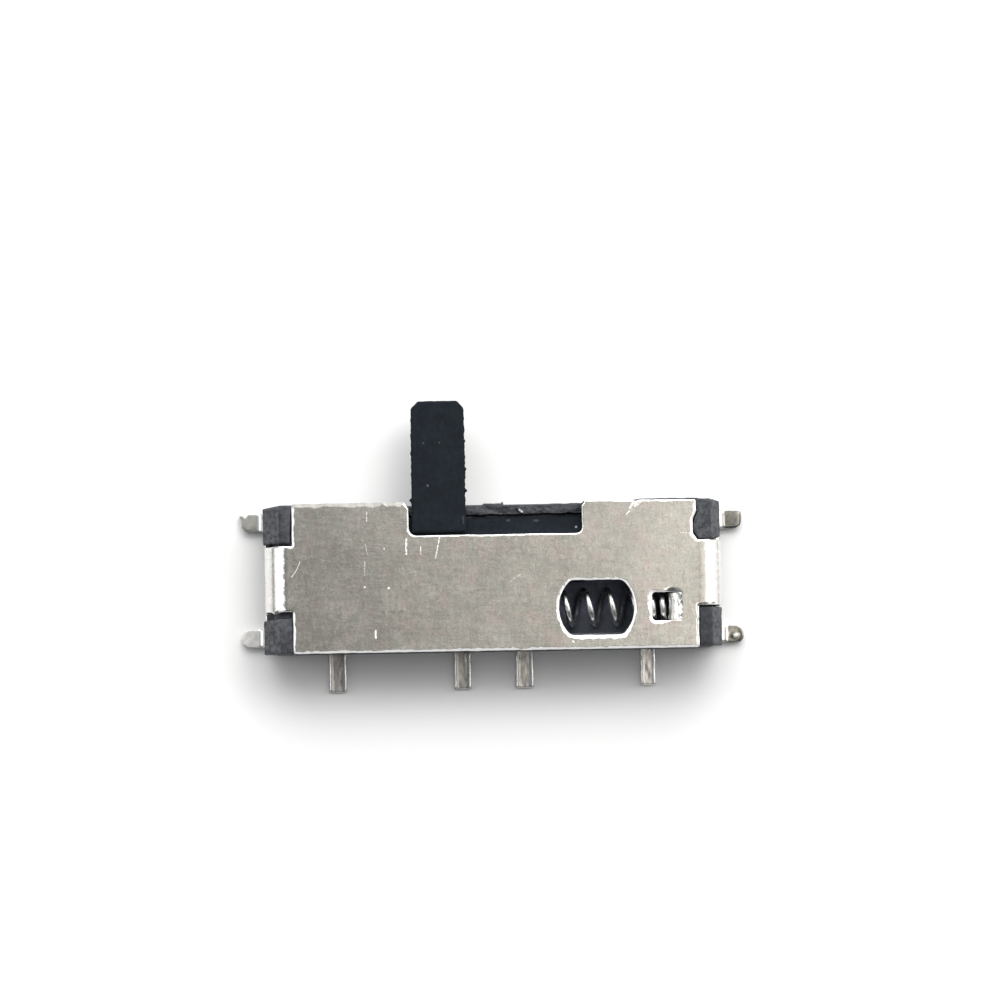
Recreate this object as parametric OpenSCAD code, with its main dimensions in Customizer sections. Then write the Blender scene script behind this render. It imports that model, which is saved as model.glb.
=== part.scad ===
// Surface-mount slide switch, worked from the side, with a spring that returns the lever.
// Units are millimetres. +X runs along the switch, +Y points out along the lever, +Z up from the board.
// The origin is the middle of the base's underside, in the plane of the circuit board.

/* [Body] */
// Length over the corner posts, without the solder feet
body_l = 10.9; // [10.8:0.05:11.4]
// Width of the base over its front and rear walls
body_w = 3.5; // [3.5:0.05:3.8]
// Height from the board to the top of the cover
body_h = 1.8; // [1.8:0.05:2.2]
// Thickness of the base's floor, with the contact pads flush in its top
floor_t = 0.5; // [0.45:0.01:0.5]
// Thickness of the base's front wall
front_wall = 0.3; // [0.2:0.02:0.3]
// Thickness of the base's rear wall
rear_wall = 0.35; // [0.25:0.02:0.35]

/* [Cover] */
// Thickness of the cover's sheet metal
sheet_t = 0.2; // [0.15:0.01:0.2]
// Outer radius of the bends between the cover's top and its end flaps
bend_r = 0.6; // [0.5:0.05:0.6]
// Width of the end flaps where they pass between the corner posts
flap_w = 1.56; // [1.2:0.05:1.56]
// How far the front and rear edges of the cover stand out over the base's walls
edge_over = 0.03; // [0:0.01:0.05]

/* [Lever slot] */
// Depth of the slot, in from the base's front wall
slot_d = 0.77; // [0.7:0.01:0.77]
// Space between the lever at rest and the slot's left end
slot_left = 0.085; // [0.05:0.005:0.1]
// Space between the lever at full travel and the slot's right end
slot_right = 0.06; // [0.05:0.005:0.1]
// Radius of the slot's two inner corners
slot_r = 0.16; // [0.05:0.01:0.2]
// Height of the front wall where the lever passes over it
sill_h = 0.75; // [0.65:0.01:0.75]

/* [Spring window] */
// Diameter of the round window before its flats
window_d = 1.8; // [1.4:0.01:1.85]
// Distance between the window's two flats
window_h = 1.31; // [1.0:0.01:1.33]
// Place of the window's centre along the switch
window_x = 2.42; // [2.3:0.02:2.6]

/* [Spring tongue] */
// Width of the tongue that is cut from the cover and bent down to hold the spring
tongue_w = 0.64; // [0.5:0.02:0.66]
// How deep the tongue reaches below the cover's top
tongue_d = 0.68; // [0.6:0.02:0.8]
// Place of the tongue's face that the spring bears on
tongue_x = 4.14; // [4.1:0.01:4.14]

/* [Slider] */
// Travel of the lever from its rest against the left end to its right end
travel = 2.7; // [2.4:0.1:2.7]
// Left end of the slider's bar at rest
bar_x0 = -4.65; // [-4.65:0.05:-4.4]
// Right end of the slider's bar at rest
bar_x1 = 2.15; // [1.9:0.05:2.15]
// Running clearance round the slider in the base and under the cover
run_gap = 0.03; // [0.02:0.005:0.04]
// Right end of the slider's rear block at rest, where the spring pushes
push_x = -0.6; // [-0.8:0.05:-0.5]

/* [Lever] */
// Width of the lever along the switch
lever_w = 1.28; // [1.0:0.01:1.3]
// Place of the lever's middle along the switch at rest
lever_x = -1.29; // [-1.4:0.01:-1.2]
// Distance of the lever's tip from the middle of the base
lever_reach = 4.19; // [3.2:0.01:5]
// Height of the lever's underside above the board
lever_z0 = 0.8; // [0.8:0.01:0.9]
// Height of the lever's top above the board
lever_z1 = 1.75; // [1.7:0.01:1.78]
// Size of the two chamfers at the lever's tip
tip_chamfer = 0.17; // [0.05:0.01:0.25]

/* [Return spring] */
// Outside diameter of the coil
spring_d = 1.0; // [0.9:0.02:1.0]
// Diameter of the spring's wire
wire_d = 0.15; // [0.12:0.01:0.16]
// Number of open turns between the two closed end turns
open_turns = 7.8; // [6:0.1:8]

/* [Terminals] */
// Width of each terminal strip
term_w = 0.42; // [0.3:0.02:0.42]
// Thickness of the terminal strips
term_t = 0.15; // [0.1:0.01:0.15]
// Distance of the terminals' tips behind the middle of the base
term_reach = 2.69; // [2.3:0.01:3]
// Distance from an inner terminal to the middle of the switch
term_in = 0.75; // [0.7:0.01:0.8]
// Distance from an outer terminal to the middle of the switch
term_out = 3.75; // [3.6:0.05:3.9]

/* [Solder feet] */
// Distance from the middle of the switch to the tips of the feet
foot_reach = 6.05; // [5.95:0.05:6.4]
// Width of each foot
foot_w = 0.43; // [0.3:0.01:0.43]
// Inside radius of the bend from the flap to the foot
foot_r = 0.2; // [0.1:0.02:0.2]

/* [Contact clip] */
// Thickness of the clip's spring sheet
clip_t = 0.08; // [0.06:0.01:0.09]
// Width of each wiper arm
arm_w = 0.34; // [0.24:0.02:0.34]

/* [Hidden] */

$fn = 48;
e = 0.2;                              // how far a cutting shape runs past the face that it cuts

hx = body_l/2;                        // outer face of the flaps and posts
hy = body_w/2;                        // outer face of the front and rear walls
under = body_h - sheet_t;             // underside of the cover's top
wall_x = hx - sheet_t - 0.01;         // outer face of the base's end walls, just inside the flaps
bend_x = hx - bend_r;                 // where the cover's end bends begin
bend_ri = bend_r - sheet_t;           // inside radius of those bends

shoulder_r = bend_ri + 0.02;          // radius of the base's shoulders inside those bends
shoulder_x = wall_x - shoulder_r;

cav_x0 = bar_x0 - 0.05;               // left end of the chamber
cav_x1 = bar_x1 + travel + 0.05;      // right end of the chamber
cav_y0 = -hy + rear_wall;
cav_y1 = hy - front_wall;

lever_l = lever_x - lever_w/2;
lever_r = lever_x + lever_w/2;
slot_x0 = lever_l - slot_left;
slot_x1 = lever_r + travel + slot_right;
slot_y = hy - slot_d;

bar_y0 = -0.15;                       // rear face of the slider's bar, beside the spring
bar_y1 = cav_y1 - run_gap;
bar_z0 = floor_t + 0.15;              // underside of the bar, over the clip
bar_z1 = under - run_gap;             // top of the bar, under the cover
skid_z = floor_t + 0.02;              // foot of the slider's skids on the floor

post_w = 0.95;                        // width of a corner post
post_y = hy - post_w;                 // its inner side
post_z = body_h - 0.04;               // its top, almost flush with the cover
post_drop = 0.35;                     // how far the outer chamfer comes down
over_z = 0.78;                        // underside of the posts' overhang, over the cover's cross arms
ridge_l = hx - 0.37;                  // top edge of the left posts' chamfer
ridge_r = hx - 0.27;                  // and of the right posts'
post_lx = 4.80;                       // inner side of the left posts
post_rx = 4.87;                       // and of the right posts

arm_top = over_z - 0.03;              // top of the cross arms at the foot of each flap
foot_z = sheet_t + foot_r;            // height where the feet begin to bend out
foot_x = hx + foot_r;                 // where a foot lies flat
// Middle of the front and rear foot at the right end, then at the left: they are a little out of line
foot_mid = [[1.34, -1.42], [1.43, -1.35]];

spring_y = (cav_y0 + bar_y0)/2 - 0.02;
spring_z = (floor_t + under)/2;
spring_x0 = push_x + 0.01;
spring_x1 = tongue_x - 0.01;

row_b = 0.25;                         // row of the three switched pads
row_a = 0.95;                         // row of the common rail
pad_z = floor_t - term_t;             // underside of the pads
clip_tip = -0.6;                      // where the wipers touch at rest, on the first pad
step = travel/2;                      // distance from one pad to the next

// ---------- helpers ----------

// A block given by two corners
module block(a, b) { translate(a) cube([b[0]-a[0], b[1]-a[1], b[2]-a[2]]); }

// A plan outline raised from z0 to z1
module slab(points, z0, z1) { translate([0, 0, z0]) linear_extrude(z1 - z0) polygon(points); }

// A profile drawn in X and Z, running from y0 to y1
module ridge(points, y0, y1) { translate([0, y1, 0]) rotate([90, 0, 0]) linear_extrude(y1 - y0) polygon(points); }

// A profile drawn in Y and Z, running from x0 to x1
module run(points, x0, x1) { translate([x0, 0, 0]) rotate([90, 0, 90]) linear_extrude(x1 - x0) polygon(points); }

// A quarter bend of sheet about an axis along Y: inside radius r, thickness t, turned on by a degrees from +X towards +Z
module bend(x, z, r, t, y0, y1, a) {
    translate([x, y1, z]) rotate([90, 0, 0]) rotate([0, 0, a])
        rotate_extrude(angle = 90) translate([r, 0]) square([t, y1 - y0]);
}

// ---------- base ----------

// One corner post on the +X side, from y0 to y1, with its chamfer from the ridge down to its outer face
module post(inner, ridge_x, y0, y1, z1) {
    ridge([[inner, 0.2], [wall_x, 0.2], [wall_x, over_z], [hx, over_z], [hx, z1 - post_drop], [ridge_x, z1], [inner, z1]], y0, y1);
}

module base_body() {
    difference() {
        union() {
            // floor and walls in one, under the cover
            block([-shoulder_x, -hy, 0], [shoulder_x, hy, under]);
            block([-wall_x, -hy, 0], [wall_x, hy, under - shoulder_r]);
            // round shoulders at both ends, just inside the cover's bends
            for (x = [-shoulder_x, shoulder_x]) translate([x, hy, under - shoulder_r]) rotate([90, 0, 0]) cylinder(r = shoulder_r, h = body_w);
            // corner posts: the left rear one is narrower at its top
            mirror([1, 0, 0]) {
                post(post_lx, ridge_l, post_y + 0.04, hy, post_z);
                post(post_lx, ridge_l, -hy, -post_y - 0.16, post_z);
                post(post_lx, ridge_l, -hy + 0.2, -post_y, 1.25);
            }
            post(post_rx, ridge_r, post_y, hy, post_z);
            post(post_rx, ridge_r, -hy + 0.02, -post_y - 0.05, post_z);
            // lip of the right front post, spread over the edge of the chamber
            slab([[post_rx + 0.05, post_y], [post_rx, post_y], [4.77, post_y + 0.15], [4.77, post_y + 0.45], [4.85, post_y + 0.65], [4.85, hy], [post_rx + 0.05, hy]], under, post_z);
        }
        // chamber for the slider, its contacts and the spring
        block([cav_x0, cav_y0, floor_t], [cav_x1, cav_y1, under]);
        // opening in the front wall for the lever
        block([slot_x0 - 0.05, cav_y1 - e, sill_h], [slot_x1 + 0.05, hy + e, body_h]);
    }
}

module base_housing() {
    color([0.16, 0.18, 0.20]) difference() {
        union() {
            base_body();
            // block that backs the spring tongue
            block([tongue_x + sheet_t + 0.02, cav_y0 - 0.1, floor_t - 0.1], [cav_x1 + 0.1, bar_y0 - 0.05, 1.3]);
            block([tongue_x + 0.42, cav_y0 - 0.1, floor_t - 0.1], [cav_x1 + 0.1, bar_y0 - 0.05, under - 0.06]);
        }
        terminal_form_1();
        terminal_form_2();
        terminal_form_3();
        terminal_form_4();
    }
}

// ---------- cover ----------

// A solder foot on the +X side: the bend out from the flap and the flat that is soldered down, ending in its own tip
module foot(y0, y1, tip) {
    bend(foot_x, foot_z, foot_r, sheet_t, y0, y1, 180);
    if (tip == "round") {
        block([foot_x, y0, 0], [foot_reach - (y1 - y0)/2, y1, sheet_t]);
        intersection() {
            block([foot_reach - (y1 - y0)/2, y0, 0], [foot_reach, y1, sheet_t]);
            translate([foot_reach - (y1 - y0)/2, (y0 + y1)/2, 0]) cylinder(d = y1 - y0, h = sheet_t);
        }
    }
    if (tip == "corner") {
        difference() {
            block([foot_x, y0, 0], [foot_reach, y1, sheet_t]);
            difference() {
                block([foot_reach - 0.2, y0 - e, -e], [foot_reach + e, y0 + 0.2, sheet_t + e]);
                translate([foot_reach - 0.2, y0 + 0.2, -e]) cylinder(r = 0.2, h = sheet_t + 2*e);
            }
        }
    }
    if (tip == "torn")
        slab([[foot_x, y0], [foot_reach - 0.08, y0], [foot_reach - 0.02, y0 + 0.1], [foot_reach - 0.03, y0 + 0.24], [foot_reach, y1 - 0.04], [foot_reach - 0.05, y1], [foot_reach - 0.16, y1 - 0.03], [foot_x, y1 - 0.03]], 0, sheet_t);
}

// One end of the cover on the +X side: bend, flap and the cross arms that catch under the posts
module cover_end(mid, front_tip, rear_tip, inner) {
    block([inner, -flap_w/2, under], [bend_x, flap_w/2, body_h]);
    bend(bend_x, under - bend_ri, bend_ri, sheet_t, -flap_w/2, flap_w/2, 0);
    block([hx - sheet_t, -flap_w/2, arm_top], [hx, flap_w/2, under - bend_ri]);
    block([hx - sheet_t, mid[1] - foot_w/2, foot_z], [hx, mid[0] + foot_w/2, arm_top]);
    foot(mid[0] - foot_w/2, mid[0] + foot_w/2, front_tip);
    foot(mid[1] - foot_w/2, mid[1] + foot_w/2, rear_tip);
}

module cover_top() {
    y = hy + edge_over;
    difference() {
        // the plate, with its right front corner cut back round the post's lip
        slab([[-post_lx + 0.015, -y], [bend_x, -y], [bend_x, post_y - 0.02], [4.745, post_y + 0.13], [4.745, post_y + 0.47], [4.83, post_y + 0.66], [4.83, hy - 0.02], [3.3, hy], [3.1, y], [-post_lx + 0.015, y]], under, body_h);
        // lever slot, open to the front
        block([slot_x0 + slot_r, slot_y, under - e], [slot_x1 - slot_r, hy + e, body_h + e]);
        block([slot_x0, slot_y + slot_r, under - e], [slot_x1, hy + e, body_h + e]);
        for (x = [slot_x0 + slot_r, slot_x1 - slot_r]) translate([x, slot_y + slot_r, under - e]) cylinder(r = slot_r, h = sheet_t + 2*e);
        // spring window: a circle with two flats
        intersection() {
            translate([window_x, spring_y, under - e]) cylinder(d = window_d, h = sheet_t + 2*e);
            block([window_x - window_d, spring_y - window_h/2, under - 2*e], [window_x + window_d, spring_y + window_h/2, body_h + 2*e]);
        }
        // hole that the tongue was cut from
        block([tongue_x - 0.4, spring_y - tongue_w/2 - 0.02, under - e], [tongue_x + 0.32, spring_y + tongue_w/2 + 0.02, body_h + e]);
    }
}

// The tongue: bent down about its right end, with its left face against the spring
module cover_tongue() {
    bend(tongue_x + 0.32, body_h - 0.32, 0.32 - sheet_t, sheet_t, spring_y - tongue_w/2, spring_y + tongue_w/2, 90);
    block([tongue_x, spring_y - tongue_w/2, body_h - tongue_d], [tongue_x + sheet_t, spring_y + tongue_w/2, body_h - 0.32]);
    block([tongue_x + 0.32, spring_y - tongue_w/2, under], [tongue_x + 0.36, spring_y + tongue_w/2, body_h]);
}

module metal_cover() {
    color([0.70, 0.68, 0.64]) {
        cover_top();
        cover_tongue();
        cover_end(foot_mid[0], "corner", "round", bend_x - 0.1);
        mirror([1, 0, 0]) cover_end(foot_mid[1], "torn", "round", post_lx - 0.1);
    }
}

// ---------- slider with its lever ----------

module slider_lever() {
    color([0.13, 0.15, 0.18]) {
        difference() {
            union() {
                // bar along the front of the chamber, and its front skid
                block([bar_x0, bar_y0, bar_z0], [bar_x1, bar_y1, bar_z1]);
                block([bar_x0, bar_y1 - 0.2, skid_z], [bar_x1, bar_y1, bar_z0 + 0.1]);
                // rear block that the spring pushes on
                block([bar_x0, cav_y0 + run_gap + 0.01, skid_z], [push_x, bar_y0 + 0.1, bar_z1]);
                // lever, raised through the cover's slot and out over the front wall
                block([lever_l, slot_y + 0.05, bar_z0 + 0.2], [lever_r, bar_y1, lever_z1]);
                slab([[lever_l, bar_y1 - 0.1], [lever_r, bar_y1 - 0.1], [lever_r, lever_reach - tip_chamfer], [lever_r - tip_chamfer, lever_reach], [lever_l + tip_chamfer, lever_reach], [lever_l, lever_reach - tip_chamfer]], lever_z0, lever_z1);
            }
            // pocket for the contact clip in the bar's underside
            block([-3.7, row_b - 0.25, bar_z0 - e], [clip_tip + 0.35, row_a + 0.25, bar_z0 + 0.15]);
        }
        // nose that centres the end of the spring
        translate([push_x - 0.1, spring_y, spring_z]) rotate([0, 90, 0]) cylinder(d = spring_d - 2*wire_d - 0.2, h = 0.7);
        // two studs that the clip is pressed on to
        for (y = [0.38, 0.82]) translate([-3.3, y, bar_z0 + 0.02]) cylinder(d = 0.24, h = 0.25);
    }
}

// ---------- contact clip ----------

clip_z = bar_z0 + 0.15;               // top of the clip's plate, against the pocket
tip_z = floor_t + 0.01;               // underside of the wipers' tips, on the pads
tip_rr = 0.16;                        // outside radius of the tips
// Middle line of a wiper: down a straight slope, round the tip and up
slope = 4.2;
function tip_pt(r, a) = [clip_tip + r*sin(a), tip_z + tip_rr - r*cos(a)];
wiper_under = concat([[-2.75, clip_z - clip_t]], [for (i = [0:8]) tip_pt(tip_rr, -slope + i*(60 + slope)/8)]);
wiper_over = concat([for (i = [8:-1:0]) tip_pt(tip_rr - clip_t, -slope + i*(60 + slope)/8)], [[-2.75, clip_z]]);

module contact_clip() {
    color([0.72, 0.52, 0.28]) {
        difference() {
            block([-3.55, row_b - arm_w/2, clip_z - clip_t], [-2.75, row_a + arm_w/2, clip_z]);
            for (y = [0.38, 0.82]) translate([-3.3, y, clip_z - clip_t - e]) cylinder(d = 0.24, h = clip_t + 2*e);
        }
        for (y = [row_b, row_a]) ridge(concat(wiper_under, wiper_over), y - arm_w/2, y + arm_w/2);
    }
}

// ---------- return spring ----------

ring_n = 18;                          // steps in one turn
side_n = 8;                           // sides of the wire
coil_r = (spring_d - wire_d)/2;
closed = 1.12*wire_d;                 // rise of a closed end turn
turns = open_turns + 2;
pitch = (spring_x1 - spring_x0 - wire_d - 2*closed)/open_turns;
steps = floor(turns*ring_n);
phase = 147;                          // where round the axis the wire begins

// Distance along the spring after t turns
function rise(t) = t < 1 ? closed*t : t < 1 + open_turns ? closed + pitch*(t - 1) : closed + pitch*open_turns + closed*(t - 1 - open_turns);
function coil_point(t, q) = let (a = phase + 360*t, r = coil_r + wire_d/2*cos(q))
    [spring_x0 + wire_d/2 + rise(t) + wire_d/2*sin(q), spring_y + r*cos(a), spring_z + r*sin(a)];

module return_spring() {
    pts = [for (i = [0:steps]) for (j = [0:side_n - 1]) coil_point(i*turns/steps, j*360/side_n)];
    last = steps*side_n;
    faces = concat(
        [for (i = [0:steps - 1]) for (j = [0:side_n - 1]) let (k = (j + 1)%side_n)
            [i*side_n + j, i*side_n + k, (i + 1)*side_n + k]],
        [for (i = [0:steps - 1]) for (j = [0:side_n - 1]) let (k = (j + 1)%side_n)
            [i*side_n + j, (i + 1)*side_n + k, (i + 1)*side_n + j]],
        [[for (j = [side_n - 1:-1:0]) j]],
        [[for (j = [0:side_n - 1]) last + j]]);
    color([0.45, 0.46, 0.48]) polyhedron(points = pts, faces = faces, convexity = 12);
}

// ---------- terminals ----------

// A strip that comes in along the underside at x and steps up to the level of the pads at y1, where it ends at y2
module strip(x, y1, y2) {
    run([[-term_reach, 0], [y1 - 0.14, 0], [y1, pad_z], [y2, pad_z], [y2, floor_t], [y1 - 0.08, floor_t], [y1 - 0.22, term_t], [-term_reach, term_t]], x - term_w/2, x + term_w/2);
}

// A pad in the top of the floor, from x0 to x1 in the row at y
module pad(x0, x1, y) { block([x0, y - term_w/2, pad_z], [x1, y + term_w/2, floor_t]); }

// The common terminal, with the long rail
module terminal_form_1() {
    strip(-term_out, row_a - term_w/2 - 0.02, row_a + term_w/2);
    pad(-term_out - term_w/2, clip_tip + travel + 0.4, row_a);
}
// The three switched terminals
module terminal_form_2() {
    strip(-term_in, row_b - term_w/2 - 0.02, row_b + term_w/2);
    pad(-term_in - term_w/2, clip_tip + 0.35, row_b);
}
module terminal_form_3() {
    strip(term_in, row_b - term_w/2 - 0.02, row_b + term_w/2);
    pad(clip_tip + step - 0.35, clip_tip + step + 0.35, row_b);
}
module terminal_form_4() {
    strip(term_out, row_b - term_w/2 - 0.02, row_b + term_w/2);
    pad(clip_tip + travel - 0.35, term_out + term_w/2, row_b);
}

module terminal_1() { color([0.66, 0.63, 0.58]) terminal_form_1(); }
module terminal_2() { color([0.66, 0.63, 0.58]) terminal_form_2(); }
module terminal_3() { color([0.66, 0.63, 0.58]) terminal_form_3(); }
module terminal_4() { color([0.66, 0.63, 0.58]) terminal_form_4(); }

base_housing();
metal_cover();
slider_lever();
contact_clip();
return_spring();
terminal_1();
terminal_2();
terminal_3();
terminal_4();
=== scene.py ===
import math
import random

import bmesh
import bpy
import numpy as np
from mathutils import Matrix, Quaternion, Vector, noise
from mathutils.geometry import delaunay_2d_cdt


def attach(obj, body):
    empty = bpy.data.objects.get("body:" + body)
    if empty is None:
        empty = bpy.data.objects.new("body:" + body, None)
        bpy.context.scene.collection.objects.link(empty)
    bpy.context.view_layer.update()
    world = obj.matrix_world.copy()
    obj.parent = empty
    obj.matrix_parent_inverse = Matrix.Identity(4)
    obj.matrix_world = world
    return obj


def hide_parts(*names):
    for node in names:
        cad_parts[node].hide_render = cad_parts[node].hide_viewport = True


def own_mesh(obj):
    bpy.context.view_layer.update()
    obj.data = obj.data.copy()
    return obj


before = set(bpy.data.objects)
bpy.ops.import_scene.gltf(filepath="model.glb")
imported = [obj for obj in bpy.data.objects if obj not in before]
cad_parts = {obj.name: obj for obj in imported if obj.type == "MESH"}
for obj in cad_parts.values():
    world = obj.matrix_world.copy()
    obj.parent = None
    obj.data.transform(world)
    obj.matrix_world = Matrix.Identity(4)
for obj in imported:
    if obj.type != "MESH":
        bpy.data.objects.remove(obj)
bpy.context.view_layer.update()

# Everything below is worked out in millimetres and turned to metres when a mesh is made.
MM = 0.001
rnd = random.Random(7)

# ---------------------------------------------------------------- sizes, as in the CAD model
HX, HY, TOP, T = 5.45, 1.75, 1.8, 0.2
UNDER = TOP - T
WALL_X = HX - T - 0.01
BEND_R, BEND_X = 0.6, HX - 0.6
POST_Y = HY - 0.95
FLAP = 0.78
SLOT_X0, SLOT_X1, SLOT_Y, SLOT_R = -2.015, 2.11, 0.98, 0.16
LEVER_L, LEVER_R, LEVER_Y = -1.93, -0.655, 4.187
LEVER_Z0, LEVER_Z1 = 0.8, 1.75
CAV = ((-4.70, -1.40), (4.90, 1.45))
FLOOR = 0.5
SPRING_Y = -0.795
SPRING_Z = 1.05
TONGUE_X = 4.14
WINDOW = (2.42, -0.795, 0.90, 0.655, 0.20)      # middle, radius, half its height and the radius of its corners
# the feet: side, lower and upper Y
FEET = {"TL": (1.215, 1.65), "BL": (-1.565, -1.135), "TR": (1.115, 1.555), "BR": (-1.625, -1.215)}


# ---------------------------------------------------------------- mesh helpers

def new_object(name, verts, faces, sharp=40.0, scale=MM, materials=()):
    me = bpy.data.meshes.new(name)
    me.from_pydata([tuple(c * scale for c in v) for v in verts], [], [tuple(f) for f in faces])
    me.validate()
    me.update()
    me.polygons.foreach_set("use_smooth", [True] * len(me.polygons))
    if sharp is not None:
        me.set_sharp_from_angle(angle=math.radians(sharp))
    ob = bpy.data.objects.new(name, me)
    bpy.context.scene.collection.objects.link(ob)
    for m in materials:
        me.materials.append(m)
    return ob


def bm_object(bm, name):
    me = bpy.data.meshes.new(name)
    bm.to_mesh(me)
    bm.free()
    ob = bpy.data.objects.new(name, me)
    bpy.context.scene.collection.objects.link(ob)
    return ob


def prism(name, pts, axis, a0, a1, bevel=0.0, seg=2, only=None):
    """A closed prism in millimetres. pts is an outline: for axis y it is (x, z), for z (x, y) and for x (y, z). only(edge) picks the edges to round."""
    bm = bmesh.new()
    place = {"x": lambda p, t: (t, p[0], p[1]), "y": lambda p, t: (p[0], t, p[1]), "z": lambda p, t: (p[0], p[1], t)}[axis]
    a = [bm.verts.new(place(p, a0)) for p in pts]
    b = [bm.verts.new(place(p, a1)) for p in pts]
    n = len(pts)
    bm.faces.new(a)
    bm.faces.new(b[::-1])
    for i in range(n):
        bm.faces.new((a[i], b[i], b[(i + 1) % n], a[(i + 1) % n]))
    bmesh.ops.recalc_face_normals(bm, faces=bm.faces)
    if bevel:
        edges = [e for e in bm.edges if only is None or only(e)]
        bmesh.ops.bevel(bm, geom=edges, offset=bevel, segments=seg, profile=0.5, affect="EDGES", clamp_overlap=True)
    return bm_object(bm, name)


def block(name, lo, hi, bevel=0.0, seg=2, only=None):
    return prism(name, [(lo[0], lo[1]), (hi[0], lo[1]), (hi[0], hi[1]), (lo[0], hi[1])], "z", lo[2], hi[2], bevel, seg, only)


def combine(base, others, op):
    """Boolean of base with each of the others, which are used up."""
    for o in others:
        m = base.modifiers.new("b", "BOOLEAN")
        m.operation, m.object = op, o
        m.solver = "EXACT"
        dg = bpy.context.evaluated_depsgraph_get()
        me = bpy.data.meshes.new_from_object(base.evaluated_get(dg))
        base.modifiers.clear()
        old = base.data
        base.data = me
        bpy.data.meshes.remove(old)
        bpy.data.objects.remove(o, do_unlink=True)
    return base


def close_slits(bm):
    """Closes the hair-thin slits where an outline crosses itself."""
    slits = [e for e in bm.edges if e.is_boundary]
    if slits:
        made = bmesh.ops.holes_fill(bm, edges=slits, sides=0)["faces"]
        bmesh.ops.triangulate(bm, faces=[f for f in made if len(f.verts) > 3])


def seal(ob):
    bm = bmesh.new()
    bm.from_mesh(ob.data)
    close_slits(bm)
    bm.to_mesh(ob.data)
    bm.free()
    return ob


def settle(ob, name, sharp=35.0, weld=1e-5):
    """Cleans a millimetre mesh, brings it to metres and shades it, with weighted normals on its bevels."""
    bm = bmesh.new()
    bm.from_mesh(ob.data)
    bmesh.ops.remove_doubles(bm, verts=bm.verts, dist=weld)
    bmesh.ops.dissolve_degenerate(bm, edges=bm.edges, dist=weld)
    bmesh.ops.triangulate(bm, faces=[f for f in bm.faces if len(f.verts) > 4])
    close_slits(bm)
    for v in bm.verts:
        v.co *= MM
    me = bpy.data.meshes.new(name)
    bm.to_mesh(me)
    bm.free()
    me.polygons.foreach_set("use_smooth", [True] * len(me.polygons))
    me.set_sharp_from_angle(angle=math.radians(sharp))
    old = ob.data
    ob.data = me
    bpy.data.meshes.remove(old)
    me.name = name
    ob.name = name
    w = ob.modifiers.new("w", "WEIGHTED_NORMAL")
    w.mode, w.keep_sharp, w.weight = "FACE_AREA", True, 80
    dg = bpy.context.evaluated_depsgraph_get()
    done = bpy.data.meshes.new_from_object(ob.evaluated_get(dg))
    ob.modifiers.clear()
    ob.data = done
    bpy.data.meshes.remove(me)
    done.name = name
    return ob


# ---------------------------------------------------------------- plates cut from an outline

def rounded(points, step=0.045):
    """Closed outline from (x, y, r) corners, with each corner rounded to r and no step longer than step."""
    n, out = len(points), []
    P = [Vector((p[0], p[1])) for p in points]
    R = [p[2] for p in points]
    for i in range(n):
        a, b, c = P[i - 1], P[i], P[(i + 1) % n]
        u, w = (a - b), (c - b)
        lu, lw = u.length, w.length
        u, w = u / lu, w / lw
        ang = math.acos(max(-1, min(1, u.dot(w))))
        r = R[i]
        if r <= 0 or abs(math.pi - ang) < 1e-3:
            out.append((b.x, b.y))
            continue
        d = r / math.tan(ang / 2)
        lim = 0.499 * min(lu, lw)
        if d > lim:
            d = lim
            r = d * math.tan(ang / 2)
        mid = (u + w).normalized()
        cen = b + mid * (r / math.sin(ang / 2))
        s0, s1 = b + u * d - cen, b + w * d - cen
        t0 = math.atan2(s0.y, s0.x)
        t1 = math.atan2(s1.y, s1.x)
        dt = (t1 - t0 + math.pi) % (2 * math.pi) - math.pi
        k = max(4, int(abs(dt) / math.radians(11)) + 1)
        for j in range(k + 1):
            t = t0 + dt * j / k
            out.append((cen.x + r * math.cos(t), cen.y + r * math.sin(t)))
    fine = []
    for i, p in enumerate(out):
        q = out[(i + 1) % len(out)]
        L = math.hypot(q[0] - p[0], q[1] - p[1])
        if L < 1e-6:
            continue
        k = max(1, math.ceil(L / step))
        for j in range(k):
            fine.append((p[0] + (q[0] - p[0]) * j / k, p[1] + (q[1] - p[1]) * j / k))
    return fine


def circle(cx, cy, r, n=64, a0=0.0):
    return [(cx + r * math.cos(a0 + 2 * math.pi * i / n), cy + r * math.sin(a0 + 2 * math.pi * i / n)) for i in range(n)]


def area(loop):
    return 0.5 * sum(loop[i - 1][0] * loop[i][1] - loop[i][0] * loop[i - 1][1] for i in range(len(loop)))


def inward(loop):
    """For each point, the direction and miter that an inset moves it by: to the left of travel."""
    p = np.array(loop, float)
    a, b = np.roll(p, 1, 0), np.roll(p, -1, 0)
    t0, t1 = p - a, b - p
    t0 /= np.maximum(np.linalg.norm(t0, axis=1), 1e-12)[:, None]
    t1 /= np.maximum(np.linalg.norm(t1, axis=1), 1e-12)[:, None]
    n0 = np.stack([-t0[:, 1], t0[:, 0]], 1)
    n1 = np.stack([-t1[:, 1], t1[:, 0]], 1)
    m = n0 + n1
    m /= np.maximum(np.linalg.norm(m, axis=1), 1e-9)[:, None]
    c = np.maximum((m * n0).sum(1), 0.5)
    return m / c[:, None]


def inside(loops, q):
    """Even-odd test of points against closed loops."""
    q = np.asarray(q, float)
    got = np.zeros(len(q), bool)
    for loop in loops:
        p = np.array(loop, float)
        a, b = p, np.roll(p, -1, 0)
        for (x0, y0), (x1, y1) in zip(a, b):
            if y0 == y1:
                continue
            cross = (y0 > q[:, 1]) != (y1 > q[:, 1])
            x = (x1 - x0) * (q[:, 1] - y0) / (y1 - y0) + x0
            got ^= cross & (q[:, 0] < x)
    return got


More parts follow.
